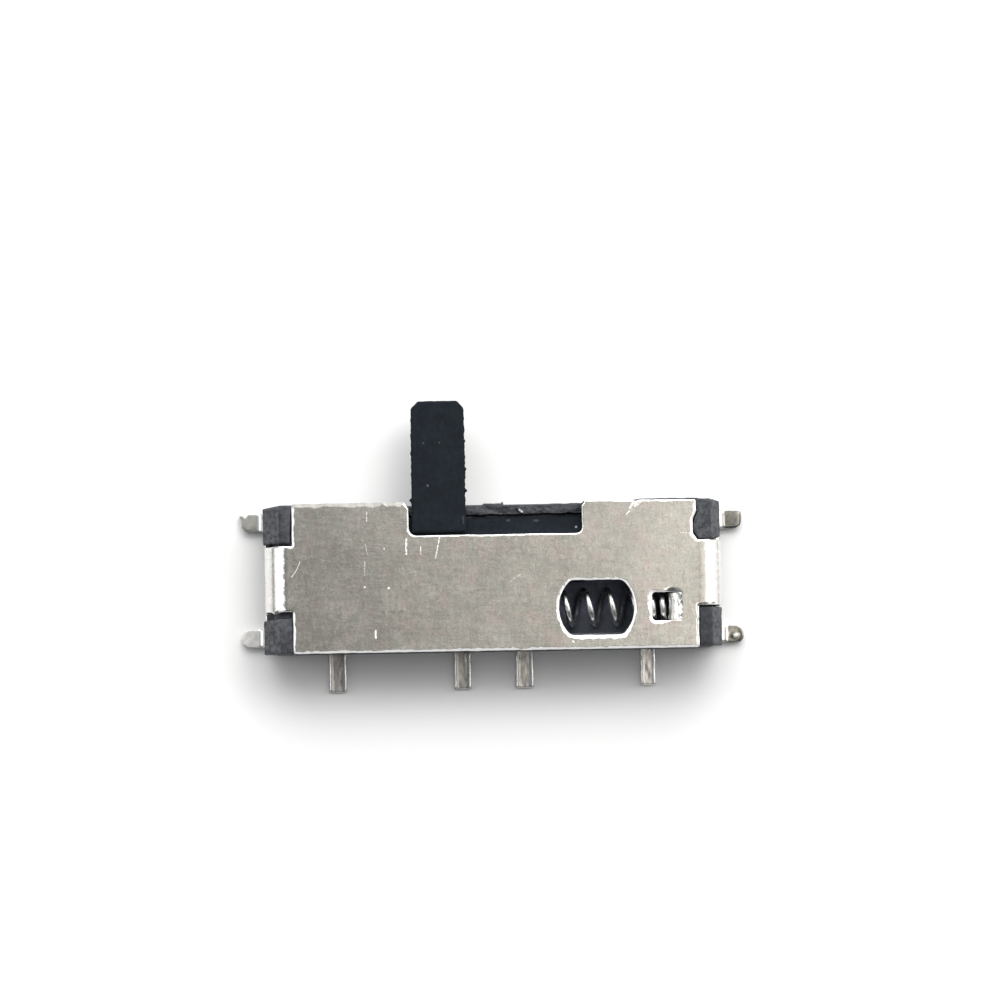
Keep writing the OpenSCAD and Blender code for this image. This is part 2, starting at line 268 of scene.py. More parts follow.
def near(loops, q, d):
    """Which points lie within d of any loop's own points."""
    p = np.vstack([np.array(l, float) for l in loops])
    q = np.asarray(q, float)
    out = np.zeros(len(q), bool)
    for i in range(0, len(q), 512):
        part = q[i:i + 512]
        out[i:i + 512] = (((part[:, None, :] - p[None]) ** 2).sum(2) < d * d).any(1)
    return out


def cut_plate(outer, holes, t, top_edge, low_edge, grid, fold, edge_width=None, rough=None):
    """A plate with rounded upper edges: outer and holes are outlines, t its thickness, top_edge and low_edge (width,
    depth) of the rounding, grid the free points inside, and fold(x, y, n) the place of each point in millimetres, n
    being 0 on the upper face and -t on the lower. edge_width gives, at each point of an outline, the width and depth of
    the rounding as shares of the usual, how straight it is cut and how much painted highlight its rolled edge gets.
    Returns vertices, faces and the painted highlight at each vertex."""
    loops = [outer if area(outer) > 0 else outer[::-1]] + [h if area(h) < 0 else h[::-1] for h in holes]
    if rough:
        loops = [rough(l) for l in loops]
    verts, faces, painted_highlight = [], [], {}
    caps = {0: [], 1: []}

    def add(xy, n):
        first = len(verts)
        verts.extend((x, y, n) for x, y in xy)
        return list(range(first, len(verts)))

    for loop in loops:
        p, m = np.array(loop, float), inward(loop)
        w, wd, flat, bright = (np.array([edge_width(x, y) for x, y in loop]).T if edge_width else np.array([(1.0, 1.0, 0.0, 0.0)] * len(loop)).T)
        rings = []
        K = 6
        for side, (ew, eh) in ((1, low_edge), (0, top_edge)):
            made = []
            for k in range(K + 1):
                a = math.pi / 2 * (1 - k / K)
                inset = ew * ((1 - math.sin(a)) * (1 - flat) + k / K * flat) * w if side == 0 else ew * (1 - math.sin(a)) * np.ones(len(loop))
                drop = eh * ((1 - math.cos(a)) * (1 - flat) + (1 - k / K) * flat) * wd if side == 0 else eh * (1 - math.cos(a)) * np.ones(len(loop))
                q = p + m * inset[:, None]
                idx = len(verts)
                for (x, y), d, b in zip(q, drop, bright):
                    verts.append((x, y, -d if side == 0 else -t + d))
                    # the upper rolled edge carries a painted highlight, as much as bright gives
                    painted_highlight[len(verts) - 1] = b if side == 0 and k < K else 0.0
                made.append(list(range(idx, len(verts))))
            q = p + m * (ew * w + 0.012 if side == 0 else np.full(len(loop), ew + 0.012))[:, None]
            made.append(add(q, 0.0 if side == 0 else -t))
            rings.append(made)
            caps[side].append((made[-1], [tuple(v) for v in q]))
        low, top = rings
        n = len(loop)
        for i in range(n):
            j = (i + 1) % n
            faces.append((low[0][i], low[0][j], top[0][j], top[0][i]))
            for k in range(len(top) - 1):
                faces.append((top[k][i], top[k][j], top[k + 1][j], top[k + 1][i]))
            for k in range(len(low) - 1):
                faces.append((low[k][j], low[k][i], low[k + 1][i], low[k + 1][j]))

    for side in (0, 1):
        ids, pts, edges = [], [], []
        for idx, q in caps[side]:
            first = len(pts)
            ids += idx
            pts += q
            edges += [(first + i, first + (i + 1) % len(q)) for i in range(len(q))]
        ls = [q for _, q in caps[side]]
        g = np.array(grid, float).reshape(-1, 2)
        if len(g):
            g = g[inside(ls, g)]
            g = g[~near(ls, g, 0.03)]
        free = len(pts)
        pts += [tuple(v) for v in g]
        n0 = 0.0 if side == 0 else -t
        ids += add(g, n0) if len(g) else []
        out_v, _, out_f, orig_v, _, _ = delaunay_2d_cdt([Vector(v) for v in pts], edges, [], 0, 1e-9, True)
        back = {}
        for k, o in enumerate(orig_v):
            if o:
                back[k] = ids[o[0]]
            else:
                back[k] = add([tuple(out_v[k])], n0)[0]
        tri = np.array([list(f) for f in out_f])
        cen = np.array([[sum(out_v[v][c] for v in f) / 3 for c in (0, 1)] for f in tri])
        keep = inside(ls, cen)
        for f, ok in zip(tri, keep):
            if not ok:
                continue
            a, b, c = (out_v[v] for v in f)
            ccw = (b[0] - a[0]) * (c[1] - a[1]) - (b[1] - a[1]) * (c[0] - a[0]) > 0
            f = [back[v] for v in f]
            if ccw != (side == 0):
                f = f[::-1]
            faces.append(tuple(f))
    return [fold(*v) for v in verts], faces, [painted_highlight.get(i, 0.0) for i in range(len(verts))]


# stores each vertex's share of painted highlight for the sheet materials
def mark_painted_highlight(ob, values):
    ob.data.attributes.new("painted_highlight", "FLOAT", "POINT").data.foreach_set("value", values)
    return ob


def grid_of(x0, x1, y0, y1, dx, dy, jitter=0.0):
    nx, ny = max(1, round((x1 - x0) / dx)), max(1, round((y1 - y0) / dy))
    return [(x0 + (x1 - x0) * (i + 0.5 * (j % 2)) / nx + rnd.uniform(-jitter, jitter), y0 + (y1 - y0) * j / ny + rnd.uniform(-jitter, jitter))
            for i in range(nx + 1) for j in range(ny + 1)]


def wobble(loop, amount, scale, seed):
    """Shifts an outline by a little smooth noise, as a worn die leaves it."""
    m = inward(loop)
    out = []
    for (x, y), (mx, my) in zip(loop, m):
        d = amount * noise.noise(Vector((x * scale, y * scale, seed))) + 0.5 * amount * noise.noise(Vector((x * scale * 3.1, y * scale * 3.1, seed + 9)))
        out.append((x + mx * d, y + my * d))
    return out


# ================================================================ the cover

L1 = math.pi / 2 * 0.5          # flat length of the end bends
S_B1 = BEND_X + L1              # where the flap goes straight down
S_T0 = S_B1 + (UNDER - 0.4 - 0.75)
S_T1 = S_B1 + (UNDER - 0.4 - 0.4)
L2 = math.pi / 2 * 0.3
S_F1 = S_T1 + L2                # where a foot lies flat
S_TIP = S_F1 + (6.042 - 5.65)
TONGUE_W = 0.64
TG_END = 3.80                   # free end of the tongue while still flat
TG_X1 = 4.46                    # where its bend begins
TG_TILT = math.radians(45)
TG_R0, TG_R = 0.30, 0.21
TG_PATH = (TG_R0 * TG_TILT, 0.06, TG_R * (math.pi / 2 - TG_TILT))
TG_DEEP = 0.66
TG_STRETCH = (sum(TG_PATH) + TG_DEEP - 0.262) / (TG_X1 - TG_END)


def tongue_path(d, n):
    """Place along X and Z of the point d along the tongue from its bend line, at n over its upper face."""
    a, b, c = TG_PATH
    if d < a:
        t = d / TG_R0
        return -(TG_R0 + n) * math.sin(t), -TG_R0 + (TG_R0 + n) * math.cos(t)
    x, z = -TG_R0 * math.sin(TG_TILT), -TG_R0 + TG_R0 * math.cos(TG_TILT)
    if d < a + b:
        k = d - a
        return x - k * math.cos(TG_TILT) - n * math.sin(TG_TILT), z - k * math.sin(TG_TILT) + n * math.cos(TG_TILT)
    x -= b * math.cos(TG_TILT)
    z -= b * math.sin(TG_TILT)
    cx, cz = x + TG_R * math.sin(TG_TILT), z - TG_R * math.cos(TG_TILT)
    if d < a + b + c:
        t = TG_TILT + (d - a - b) / TG_R
        return cx - (TG_R + n) * math.sin(t), cz + (TG_R + n) * math.cos(t)
    return cx - TG_R - n, cz - (d - a - b - c)


def tongue_line(y):
    """The uneven line where the tongue starts down: it stays left of the ends of its cuts at its sides."""
    k = abs(y - SPRING_Y) / (TONGUE_W / 2)
    return TG_X1 - 0.035 + 0.035 * max(0.0, 1 - k ** 4) + (0.012 * noise.noise(Vector((y * 5.5, 3.1, 0.7))) + 0.012 * noise.noise(Vector((y * 14, 3.1, 0.7)))) * max(0.0, 1 - k ** 2)


def bend_curve(flat):
    """Points along the outer face of an end bend: it runs on flat a little, breaks down quickly, then turns evenly to upright."""
    pts, h, v, m = [(0.0, 0.0)], 0.0, 0.0, 400
    for i in range(m):
        u = (i + 0.5) / m
        a = 2 * u / flat if u < flat else (2 + 20 * (u - flat) / 0.05 if u < flat + 0.05 else 22 + 68 * (u - flat - 0.05) / (0.95 - flat))
        h += math.cos(math.radians(a))
        v += math.sin(math.radians(a))
        pts.append((h, v))
    return [(BEND_R * x / h, BEND_R * z / v) for x, z in pts]


BEND = {-1: bend_curve(0.11), 1: bend_curve(0.23)}


def cover_fold(s, y, n):
    side = 1 if s > 0 else -1
    a = abs(s)
    a += (0.075 * noise.noise(Vector((side * 3.7, y * 6.0, 1.9))) + 0.050 * noise.noise(Vector((side * 3.7, y * 17.0, 1.9)))) * math.exp(-((a - BEND_X - 0.14) / 0.09) ** 2)
    dent = 0.0
    if side > 0 and 3.9 < a < 4.7:
        # the cutting tool pressed the sheet down at the corner of the tongue
        dent = -0.034 * math.exp(-((a - 4.21) / 0.10) ** 2 - ((y + 0.450) / 0.060) ** 2) - 0.012 * math.exp(-((a - 4.34) / 0.07) ** 2 - ((y + 0.52) / 0.07) ** 2)
    if side > 0 and abs(y - SPRING_Y) < TONGUE_W / 2 + 0.003 and TG_END - 0.02 < a < tongue_line(y):
        d = (tongue_line(y) - a) * TG_STRETCH
        x, z = tongue_path(d, n)
        return (tongue_line(y) + x, y, TOP - 0.004 + z + dent)
    if a <= BEND_X:
        sag = 0.0016 * noise.noise(Vector((s * 0.45, y * 0.8, 3.7))) + 0.0010 * noise.noise(Vector((s * 1.3, y * 1.7, 8.1)))
        return (s, y, TOP + n + sag * min(1, (BEND_X - a) / 0.4) - 0.004 + dent)
    low = 0.004 * max(0.0, 1 - (a - BEND_X) / 0.2)
    if a <= S_B1:
        u = (a - BEND_X) / L1
        th, r = math.pi / 2 * u, BEND_R - T
        h, v = BEND[side][min(len(BEND[side]) - 1, int(round(u * (len(BEND[side]) - 1))))]
        k = -n / T
        x = h * (1 - k) + r * math.sin(th) * k
        z = -v * (1 - k) + (r * math.cos(th) - BEND_R) * k
        return (side * (BEND_X + x), y, TOP + z - low)
    if a <= S_T1:
        return (side * (HX + n), y, TOP - BEND_R - (a - S_B1))
    if a <= S_F1:
        th = math.pi / 2 * (a - S_T1) / L2
        r = 0.2 - n
        return (side * (HX + 0.2 - r * math.cos(th)), y, 0.4 - r * math.sin(th))
    return (side * (HX + 0.2 + (a - S_F1)), y, T + n)


def window_outline():
    cx, cy, R, h, r = WINDOW
    xc = math.sqrt((R - r) ** 2 - (h - r) ** 2)
    yc = h - r
    turn = math.atan2(yc, xc)
    quarter = []
    for i in range(15):
        t = turn * i / 14
        quarter.append((R * math.cos(t), R * math.sin(t)))
    for i in range(1, 9):
        t = turn + (math.pi / 2 - turn) * i / 8
        quarter.append((xc + r * math.cos(t), yc + r * math.sin(t)))
    pts = quarter + [(-x, y) for x, y in reversed(quarter)]
    pts += [(x, -y) for x, y in reversed(pts)][1:-1]
    return rounded([(cx + x, cy + y, 0) for x, y in pts], 0.04)


def cover():
    rear = HY + 0.027
    (tl0, tl1), (bl0, bl1), (tr0, tr1), (br0, br1) = (FEET[k] for k in ("TL", "BL", "TR", "BR"))
    right = [
        (BEND_X, -rear, 0.05), (BEND_X, -FLAP, 0.035), (S_T0, -FLAP, 0.05), (S_T0, br0, 0.07), (S_TIP, br0, 0.13), (S_TIP, br1, 0.20), (S_T1, br1, 0.05),
        (S_T1, tr0, 0.05), (S_TIP, tr0, 0.19), (S_TIP, tr1, 0.05), (S_T0, tr1, 0.05), (S_T0, FLAP, 0.05), (4.855, FLAP, 0.03),
        (4.745, POST_Y + 0.13, 0.06), (4.745, POST_Y + 0.47, 0.08), (4.83, POST_Y + 0.66, 0.05), (4.83, HY - 0.02, 0.05),
    ]
    front = [
        (3.47, HY - 0.008, 0), (3.40, HY - 0.040, 0.02), (3.31, HY - 0.015, 0.02), (3.20, HY, 0),
        (SLOT_X1 + 0.085, HY + 0.010, 0.03), (SLOT_X1, 1.63, 0.03), (SLOT_X1, SLOT_Y, 0.15), (SLOT_X0, SLOT_Y, 0.18), (SLOT_X0, 1.61, 0.03), (SLOT_X0 - 0.100, HY + 0.027, 0.03),
    ]
    left = [
        (-4.785, HY + 0.027, 0.06), (-4.785, FLAP, 0.035), (-S_T0, FLAP, 0.05), (-S_T0, tl1 - 0.01, 0.05),
        (-S_TIP + 0.20, tl1, 0.05), (-S_TIP + 0.12, tl1 - 0.085, 0.05), (-S_TIP + 0.01, tl1 - 0.02, 0.018), (-S_TIP, tl1 - 0.06, 0.018), (-S_TIP + 0.03, tl0 + 0.26, 0.06), (-S_TIP + 0.045, tl0 + 0.12, 0.04), (-S_TIP + 0.13, tl0, 0.07),
        (-S_T1, tl0, 0.05), (-S_T1, bl1, 0.05), (-S_TIP, bl1, 0.212), (-S_TIP, bl0, 0.212),
        (-S_T0, bl0, 0.07), (-S_T0, -FLAP, 0.05), (-5.30, -FLAP, 0.02), (-5.18, -FLAP - 0.05, 0.02), (-5.06, -FLAP, 0.02), (-4.785, -FLAP, 0.035), (-4.785, -rear + 0.005, 0.05),
    ]
    outer = rounded(right + front + left, 0.04)
    window = window_outline()
    w = TONGUE_W / 2
    slit = rounded([
        (TG_X1 - 0.03, SPRING_Y - w - 0.010, 0.003), (TG_X1 - 0.03, SPRING_Y - w, 0.003), (TG_END, SPRING_Y - w, 0.03), (TG_END, SPRING_Y + w, 0.03), (TG_X1 - 0.03, SPRING_Y + w, 0.003),
        (TG_X1 - 0.03, SPRING_Y + w + 0.010, 0.003), (4.20, SPRING_Y + w + 0.012, 0), (4.12, SPRING_Y + w + 0.02, 0), (TONGUE_X - 0.40, SPRING_Y + w + 0.02, 0.09),
        (TONGUE_X - 0.40, SPRING_Y - w - 0.02, 0.09), (4.12, SPRING_Y - w - 0.02, 0), (4.20, SPRING_Y - w - 0.012, 0),
    ], 0.03)

    cx, cy, R, h, r = WINDOW

    def width(x, y):
        # width and depth of the rolled edge as shares of the usual, how straight it is cut, and how much painted
        # highlight it gets
        k, d, c, b = 1.0, 1.0, 0.0, 0.0
        if math.hypot(x - cx, y - cy) < R + 0.03 and abs(y - cy) < h + 0.03:
            if y - cy > 0.52:
                return 0.85, 0.70, 0.9, 1.0
            if y - cy < -0.52:
                return 1.40, 1.40, 0.9, 1.0
            return (0.88, 0.95, 0.9, 1.0) if x < cx else (0.80, 0.70, 0.9, 1.0)
        if abs(x) < 4.83:
            if y < -1.72:
                k, d, c, b = 0.92, 0.95, 0.9, 0.95
            if y > 1.70:
                k, d, c, b = (1.55, 0.12, 0.9, 0.26) if x < 0 else (0.45, 0.4, 0.9, 0.6)
            if SLOT_X0 - 0.15 < x < SLOT_X1 + 0.15 and 0.9 < y < 1.72:
                k, d, b = (0.70, 0.7, 0.35) if y < 1.1 else (0.5, 0.5, 0.3)
            if abs(x) > 4.70 and abs(y) > 0.80 and abs(y) < 1.70:
                k, b = 1.0, 0.70
            if abs(y - SPRING_Y) < 0.4 and 3.7 < x < 4.5:
                if x < 4.1 and (x < 3.79 or abs(y - SPRING_Y) > TONGUE_W / 2 + 0.005):
                    k, d, c, b = (1.45, 1.4, 0.9, 1.0) if x < 3.79 else ((1.15, 1.1, 0.9, 1.0) if y < SPRING_Y else (0.7, 0.9, 0.9, 0.75))
                else:
                    k, d = 0.22, 0.3
        if abs(x) > S_T0 + 0.1:
            k, d, b = 1.0, 0.35, 0.0
        return k, d, c, b

    def spread(loop):
        ws = [width(x, y) for x, y in loop]
        n = len(ws)
        out = {}
        for i in range(n):
            x, y = loop[i]
            ragged = 1.0 + 0.55 * noise.noise(Vector((x * 6.0, y * 6.0, 2.2))) + 0.35 * noise.noise(Vector((x * 15.0, y * 15.0, 7.2)))
            k, d, c, b = (sum(ws[(i + j) % n][q] for j in range(-3, 4)) / 7 for q in range(4))
            out[loop[i]] = (k * ragged, d * (ragged if c > 0.4 else 1.0), c, b)
        return out

    smooth = {}
    for l in (outer, window, slit):
        smooth.update(spread(l))
        smooth.update(spread(l[::-1]))

    table = {}

    def roughen(loop):
        fine = abs(area(loop)) < 1.0 and min(q[0] for q in loop) > 3.5
        new = wobble(loop, 0.003 if fine else 0.008, 3.4, 4.0)
        for a, b in zip(loop, new):
            table[(round(b[0], 9), round(b[1], 9))] = smooth.get(a, (1.0, 1.0, 0.0, 0.0))
        return new

    grid = grid_of(-4.8, 4.8, -1.7, 1.7, 0.17, 0.17, 0.01)
    grid += grid_of(3.98, 4.62, -1.26, -0.30, 0.035, 0.035, 0.002) + grid_of(4.24, 4.50, -1.10, -0.50, 0.018, 0.018, 0.001)
    for sg in (-1, 1):
        k = 44
        grid += [(sg * (BEND_X + L1 * i / k), y) for i in range(k + 1) for y in np.arange(-FLAP + 0.10, FLAP - 0.05, 0.06 if i > 14 else 0.03)]
        grid += [(sg * s, y) for s in np.arange(S_B1 + 0.08, S_T1 - 0.03, 0.1) for y in np.arange(-1.5, 1.55, 0.1)]
    for key, (y0, y1) in FEET.items():
        sg = -1 if key[1] == "L" else 1
        k = 14
        grid += [(sg * (S_T1 + L2 * i / k), y) for i in range(k + 1) for y in np.arange(y0 + 0.07, y1 - 0.05, 0.06)]
        grid += [(sg * s, y) for s in np.arange(S_F1 + 0.03, S_TIP - 0.03, 0.035) for y in np.arange(y0 + 0.06, y1 - 0.03, 0.035)]
    v, f, painted_highlight = cut_plate(outer, [window, slit], T, (0.06, 0.035), (0.012, 0.012), grid, cover_fold,
                     edge_width=lambda x, y: table.get((round(x, 9), round(y, 9)), (1.0, 1.0, 0.0, 0.0)), rough=roughen)
    out = []
    for i, (x, y, z) in enumerate(v):
        if 4.24 < x < 4.50 and abs(y - SPRING_Y) < TONGUE_W / 2 and z > 1.40:
            # a ragged painted highlight along the bend of the tongue
            q = 0.040 * noise.noise(Vector((y * 9, x * 3, 5.5))) + 0.036 * noise.noise(Vector((y * 24, x * 20, 5.5)))
            p = 0.065 * noise.noise(Vector((y * 11, 3.4, 1.5))) + 0.060 * noise.noise(Vector((y * 27, x * 12, 8.5)))
            l = 4.285 + 0.085 * smooth_step(y, -0.95, -0.60) + q
            patchy = smooth_step(noise.noise(Vector((x * 19, y * 19, 4.4))) + 6 * (x - l), 0.0, 0.30)
            painted_highlight[i] = max(painted_highlight[i], smooth_step(x, l, l + 0.03) * patchy * (1 - smooth_step(x, 4.428 + p, 4.452 + p)) * (1 - smooth_step(y, -0.62 + q, -0.54 + q) * (1 - smooth_step(x, 4.33, 4.37))))
        if z > TOP - 0.12 and 4.85 < abs(x) < 5.20 and abs(y) < FLAP + 0.04:
            # a ragged painted highlight where the end bends begin
            sd = -1 if x < 0 else 1
            x0 = 4.984 if x < 0 else 5.032
            q = 0.036 * noise.noise(Vector((sd * 3.1, y * 9, 0.7))) + 0.034 * noise.noise(Vector((sd * 3.1, y * 26, 0.7)))
            painted_highlight[i] = max(painted_highlight[i], 0.95 * smooth_step(abs(x), x0 + q, x0 + 0.018 + q) * (1 - smooth_step(abs(x), x0 + 0.11, x0 + 0.15)))
        if x > 5.6 and y < 0 and z > 0.1:
            # a blister in the right rear foot, with a ring pressed round it
            d = math.hypot((x - 5.845) / 1.25, y + 1.473)
            z += 0.008 * math.exp(-(d / 0.045) ** 2) - 0.006 * math.exp(-((d - 0.10) / 0.04) ** 2)
            # a painted glint on the crown of the blister
            if z > T - 0.02:
                painted_highlight[i] = max(painted_highlight[i], 0.9 * (1 - smooth_step(math.hypot((x - 5.845) / 1.6, y + 1.468), 0.022, 0.050)))
        if x < -5.6 and y > 0 and z > 0.1:
            # the torn foot curls down towards its end and its rear edge
            e1 = max(0.0, (-x - 5.90) / 0.15)
            e2 = max(0.0, (1.30 - y) / 0.09)
            z -= 0.008 * e1 ** 2 + 0.010 * e2 ** 2
        if x > 5.6 and y > 0 and z > 0.1:
            e1 = max(0.0, (x - 5.92) / 0.13)
            e2 = max(0.0, (1.20 - y) / 0.09)
            z -= 0.008 * e1 ** 2 + 0.010 * e2 ** 2
        out.append((x, y, z))
    return seal(mark_painted_highlight(new_object("cover", out, f, sharp=50), painted_highlight))


# ================================================================ the base

def arc(cx, cz, r, a0, a1, n):
    return [(cx + r * math.cos(math.radians(a0 + (a1 - a0) * i / n)), cz + r * math.sin(math.radians(a0 + (a1 - a0) * i / n))) for i in range(n + 1)]


def roughen_posts(ob, amount=0.011, scale=9.0, cut=0.07):
    """Cuts the posts' upper faces up small and shifts them by smooth noise, as the worn mould leaves them."""
    bm = bmesh.new()
    bm.from_mesh(ob.data)
    bmesh.ops.remove_doubles(bm, verts=bm.verts, dist=1e-5)

    def here(f):
        c = f.calc_center_median()
        return abs(c.x) > 4.76 and abs(c.y) > 0.80 and max(v.co.z for v in f.verts) > 1.15 and max(v.co.z for v in f.verts) > UNDER - 0.3

    bmesh.ops.triangulate(bm, faces=[f for f in bm.faces if here(f)])
    for _ in range(7):
        long = {e for f in bm.faces if here(f) for e in f.edges if e.calc_length() > cut}
        if not long:
            break
        bmesh.ops.subdivide_edges(bm, edges=list(long), cuts=1)
        bmesh.ops.triangulate(bm, faces=[f for f in bm.faces if len(f.verts) > 3 and abs(f.calc_center_median().x) > 4.5 and max(v.co.z for v in f.verts) > 0.5])
    bm.normal_update()
    new = []
    for v in bm.verts:
        c = v.co
        k = smooth_step(c.z, 1.0, 1.35) * smooth_step(abs(c.x), 4.75, 4.80) * smooth_step(abs(c.y), 0.79, 0.81)
        if 1.55 < c.z < 1.61 and abs(c.y) < 1.74 and abs(c.x) < 5.2:
            k = 0.0
        d = noise.noise(Vector((c.x * scale, c.y * scale, c.z * scale))) + 0.6 * noise.noise(Vector((c.x * scale * 2.3, c.y * scale * 2.3, c.z * scale * 2.3 + 5)))
        new.append(c + v.normal * amount * k * d)
    for v, c in zip(bm.verts, new):
        v.co = c
    bm.to_mesh(ob.data)
    bm.free()
    return ob


def post(name, side, inner, ridge, y0, y1, z1, outer=HX, bevel=0.03, shape=None, low=0.25):
    pts = [(inner, low), (WALL_X - 0.03, low), (WALL_X - 0.03, 0.78), (outer, 0.78), (outer, z1 - 0.35), (ridge, z1), (inner, z1)]
    pts = [(side * x, z) for x, z in pts]
    ob = prism(name, pts, "y", y0, y1, bevel, 3)
    if shape:
        for v in ob.data.vertices:
            v.co = shape(v.co)
        bm = bmesh.new()
        bm.from_mesh(ob.data)
        bmesh.ops.triangulate(bm, faces=bm.faces)
        bm.to_mesh(ob.data)
        bm.free()
    return ob


def rough_sill():
    """The low front wall in the lever's opening, with the torn, grainy top that the moulding has there."""
    x0, x1, y0, y1 = SLOT_X0 - 0.05, SLOT_X1 + 0.05, 1.45, HY
    nx, ny = 190, 18
    bm = bmesh.new()
    top, low = [], []
    for j in range(ny + 1):
        rt, rl = [], []
        for i in range(nx + 1):
            x, t = x0 + (x1 - x0) * i / nx, j / ny
            front = 1.733 + 0.045 * smooth_step(x, -0.24, -0.19) * (1 - smooth_step(x, 0.26, 0.30)) + 0.050 * math.exp(-((x - 0.262) / 0.022) ** 2) + 0.020 * smooth_step(x, 1.25, 1.45)
            front += 0.010 * noise.noise(Vector((x * 5, 0.3, 7.7))) + 0.007 * noise.noise(Vector((x * 17, 0.3, 2.7)))
            inner = 1.474 + 0.026 * noise.noise(Vector((x * 4, 3.3, 2.7))) + 0.018 * noise.noise(Vector((x * 13, 1.3, 0.7))) + 0.012 * smooth_step(x, 1.2, 1.7)
            y = inner + (front - inner) * t
            # the groove along the slider's bar, and the rounding at the front
            groove = max(0.0, 1 - t / 0.16)
            ed = max(0.0, (t - 0.90) / 0.10)
            h = 0.026 * noise.noise(Vector((x * 2.2, y * 6, 1.1))) + 0.020 * noise.noise(Vector((x * 7, y * 12, 5.3))) + 0.014 * noise.noise(Vector((x * 20, y * 24, 2.3))) + 0.008 * noise.noise(Vector((x * 44, y * 50, 6.3)))
            z = 0.735 + h - 0.16 * groove ** 1.5 - 0.03 * ed ** 2
            rt.append(bm.verts.new((x, y, z)))
            rl.append(bm.verts.new((x, y, 0.3)))
        top.append(rt)
        low.append(rl)
    for j in range(ny):
        for i in range(nx):
            bm.faces.new((top[j][i], top[j][i + 1], top[j + 1][i + 1], top[j + 1][i]))
            bm.faces.new((low[j][i], low[j + 1][i], low[j + 1][i + 1], low[j][i + 1]))
    for i in range(nx):
        bm.faces.new((low[0][i], low[0][i + 1], top[0][i + 1], top[0][i]))
        bm.faces.new((low[ny][i + 1], low[ny][i], top[ny][i], top[ny][i + 1]))
    for j in range(ny):
        bm.faces.new((low[j + 1][0], low[j][0], top[j][0], top[j + 1][0]))
        bm.faces.new((low[j][nx], low[j + 1][nx], top[j + 1][nx], top[j][nx]))
    bmesh.ops.recalc_face_normals(bm, faces=bm.faces)
    return bm_object(bm, "sill")


def smooth_step(x, a, b):
    t = max(0.0, min(1.0, (x - a) / (b - a)))
    return t * t * (3 - 2 * t)


def flash_strip():
    """Flash along the top of the front wall's right half, past the cover's edge."""
    front, back = [], []
    n = 60
    for i in range(n + 1):
        x = 3.28 + (4.90 - 3.28) * i / n
        k = smooth_step(x, 3.28, 3.55)
        front.append((x, 1.752 + k * (0.032 + 0.010 * noise.noise(Vector((x * 4, 0.2, 4.4))) + 0.006 * noise.noise(Vector((x * 12, 0.2, 4.4))))))
        back.append((x, 1.70))
    return prism("flash", front + back[::-1], "z", 1.38, UNDER - 0.008, 0.006, 1)


def sliver():
    """A pale sliver of moulding that lies torn up on the low wall."""
    pts = [(0.575, 1.668), (0.625, 1.662), (0.700, 1.615), (0.772, 1.548), (0.765, 1.520), (0.715, 1.528), (0.640, 1.590), (0.590, 1.638)]
    ob = prism("sliver", pts, "z", 0.60, 0.80, 0.012, 2)
    for v in ob.data.vertices:
        if v.co.z > 0.7:
            v.co.z += 0.05 * smooth_step(v.co.x, 0.60, 0.70) * (1 - smooth_step(v.co.x, 0.72, 0.79)) - 0.02
    return ob


def horn(x, side):
    """A spike of flash at the front corner of the lever's opening."""
    pts = [(x - side * 0.010, 1.560), (x + side * 0.020, 1.605), (x + side * 0.052, 1.672), (x + side * 0.082, 1.722), (x + side * 0.066, 1.730), (x + side * 0.022, 1.690), (x - side * 0.014, 1.660)]
    return prism("horn", pts, "z", 1.10, 1.74, 0.004, 1)


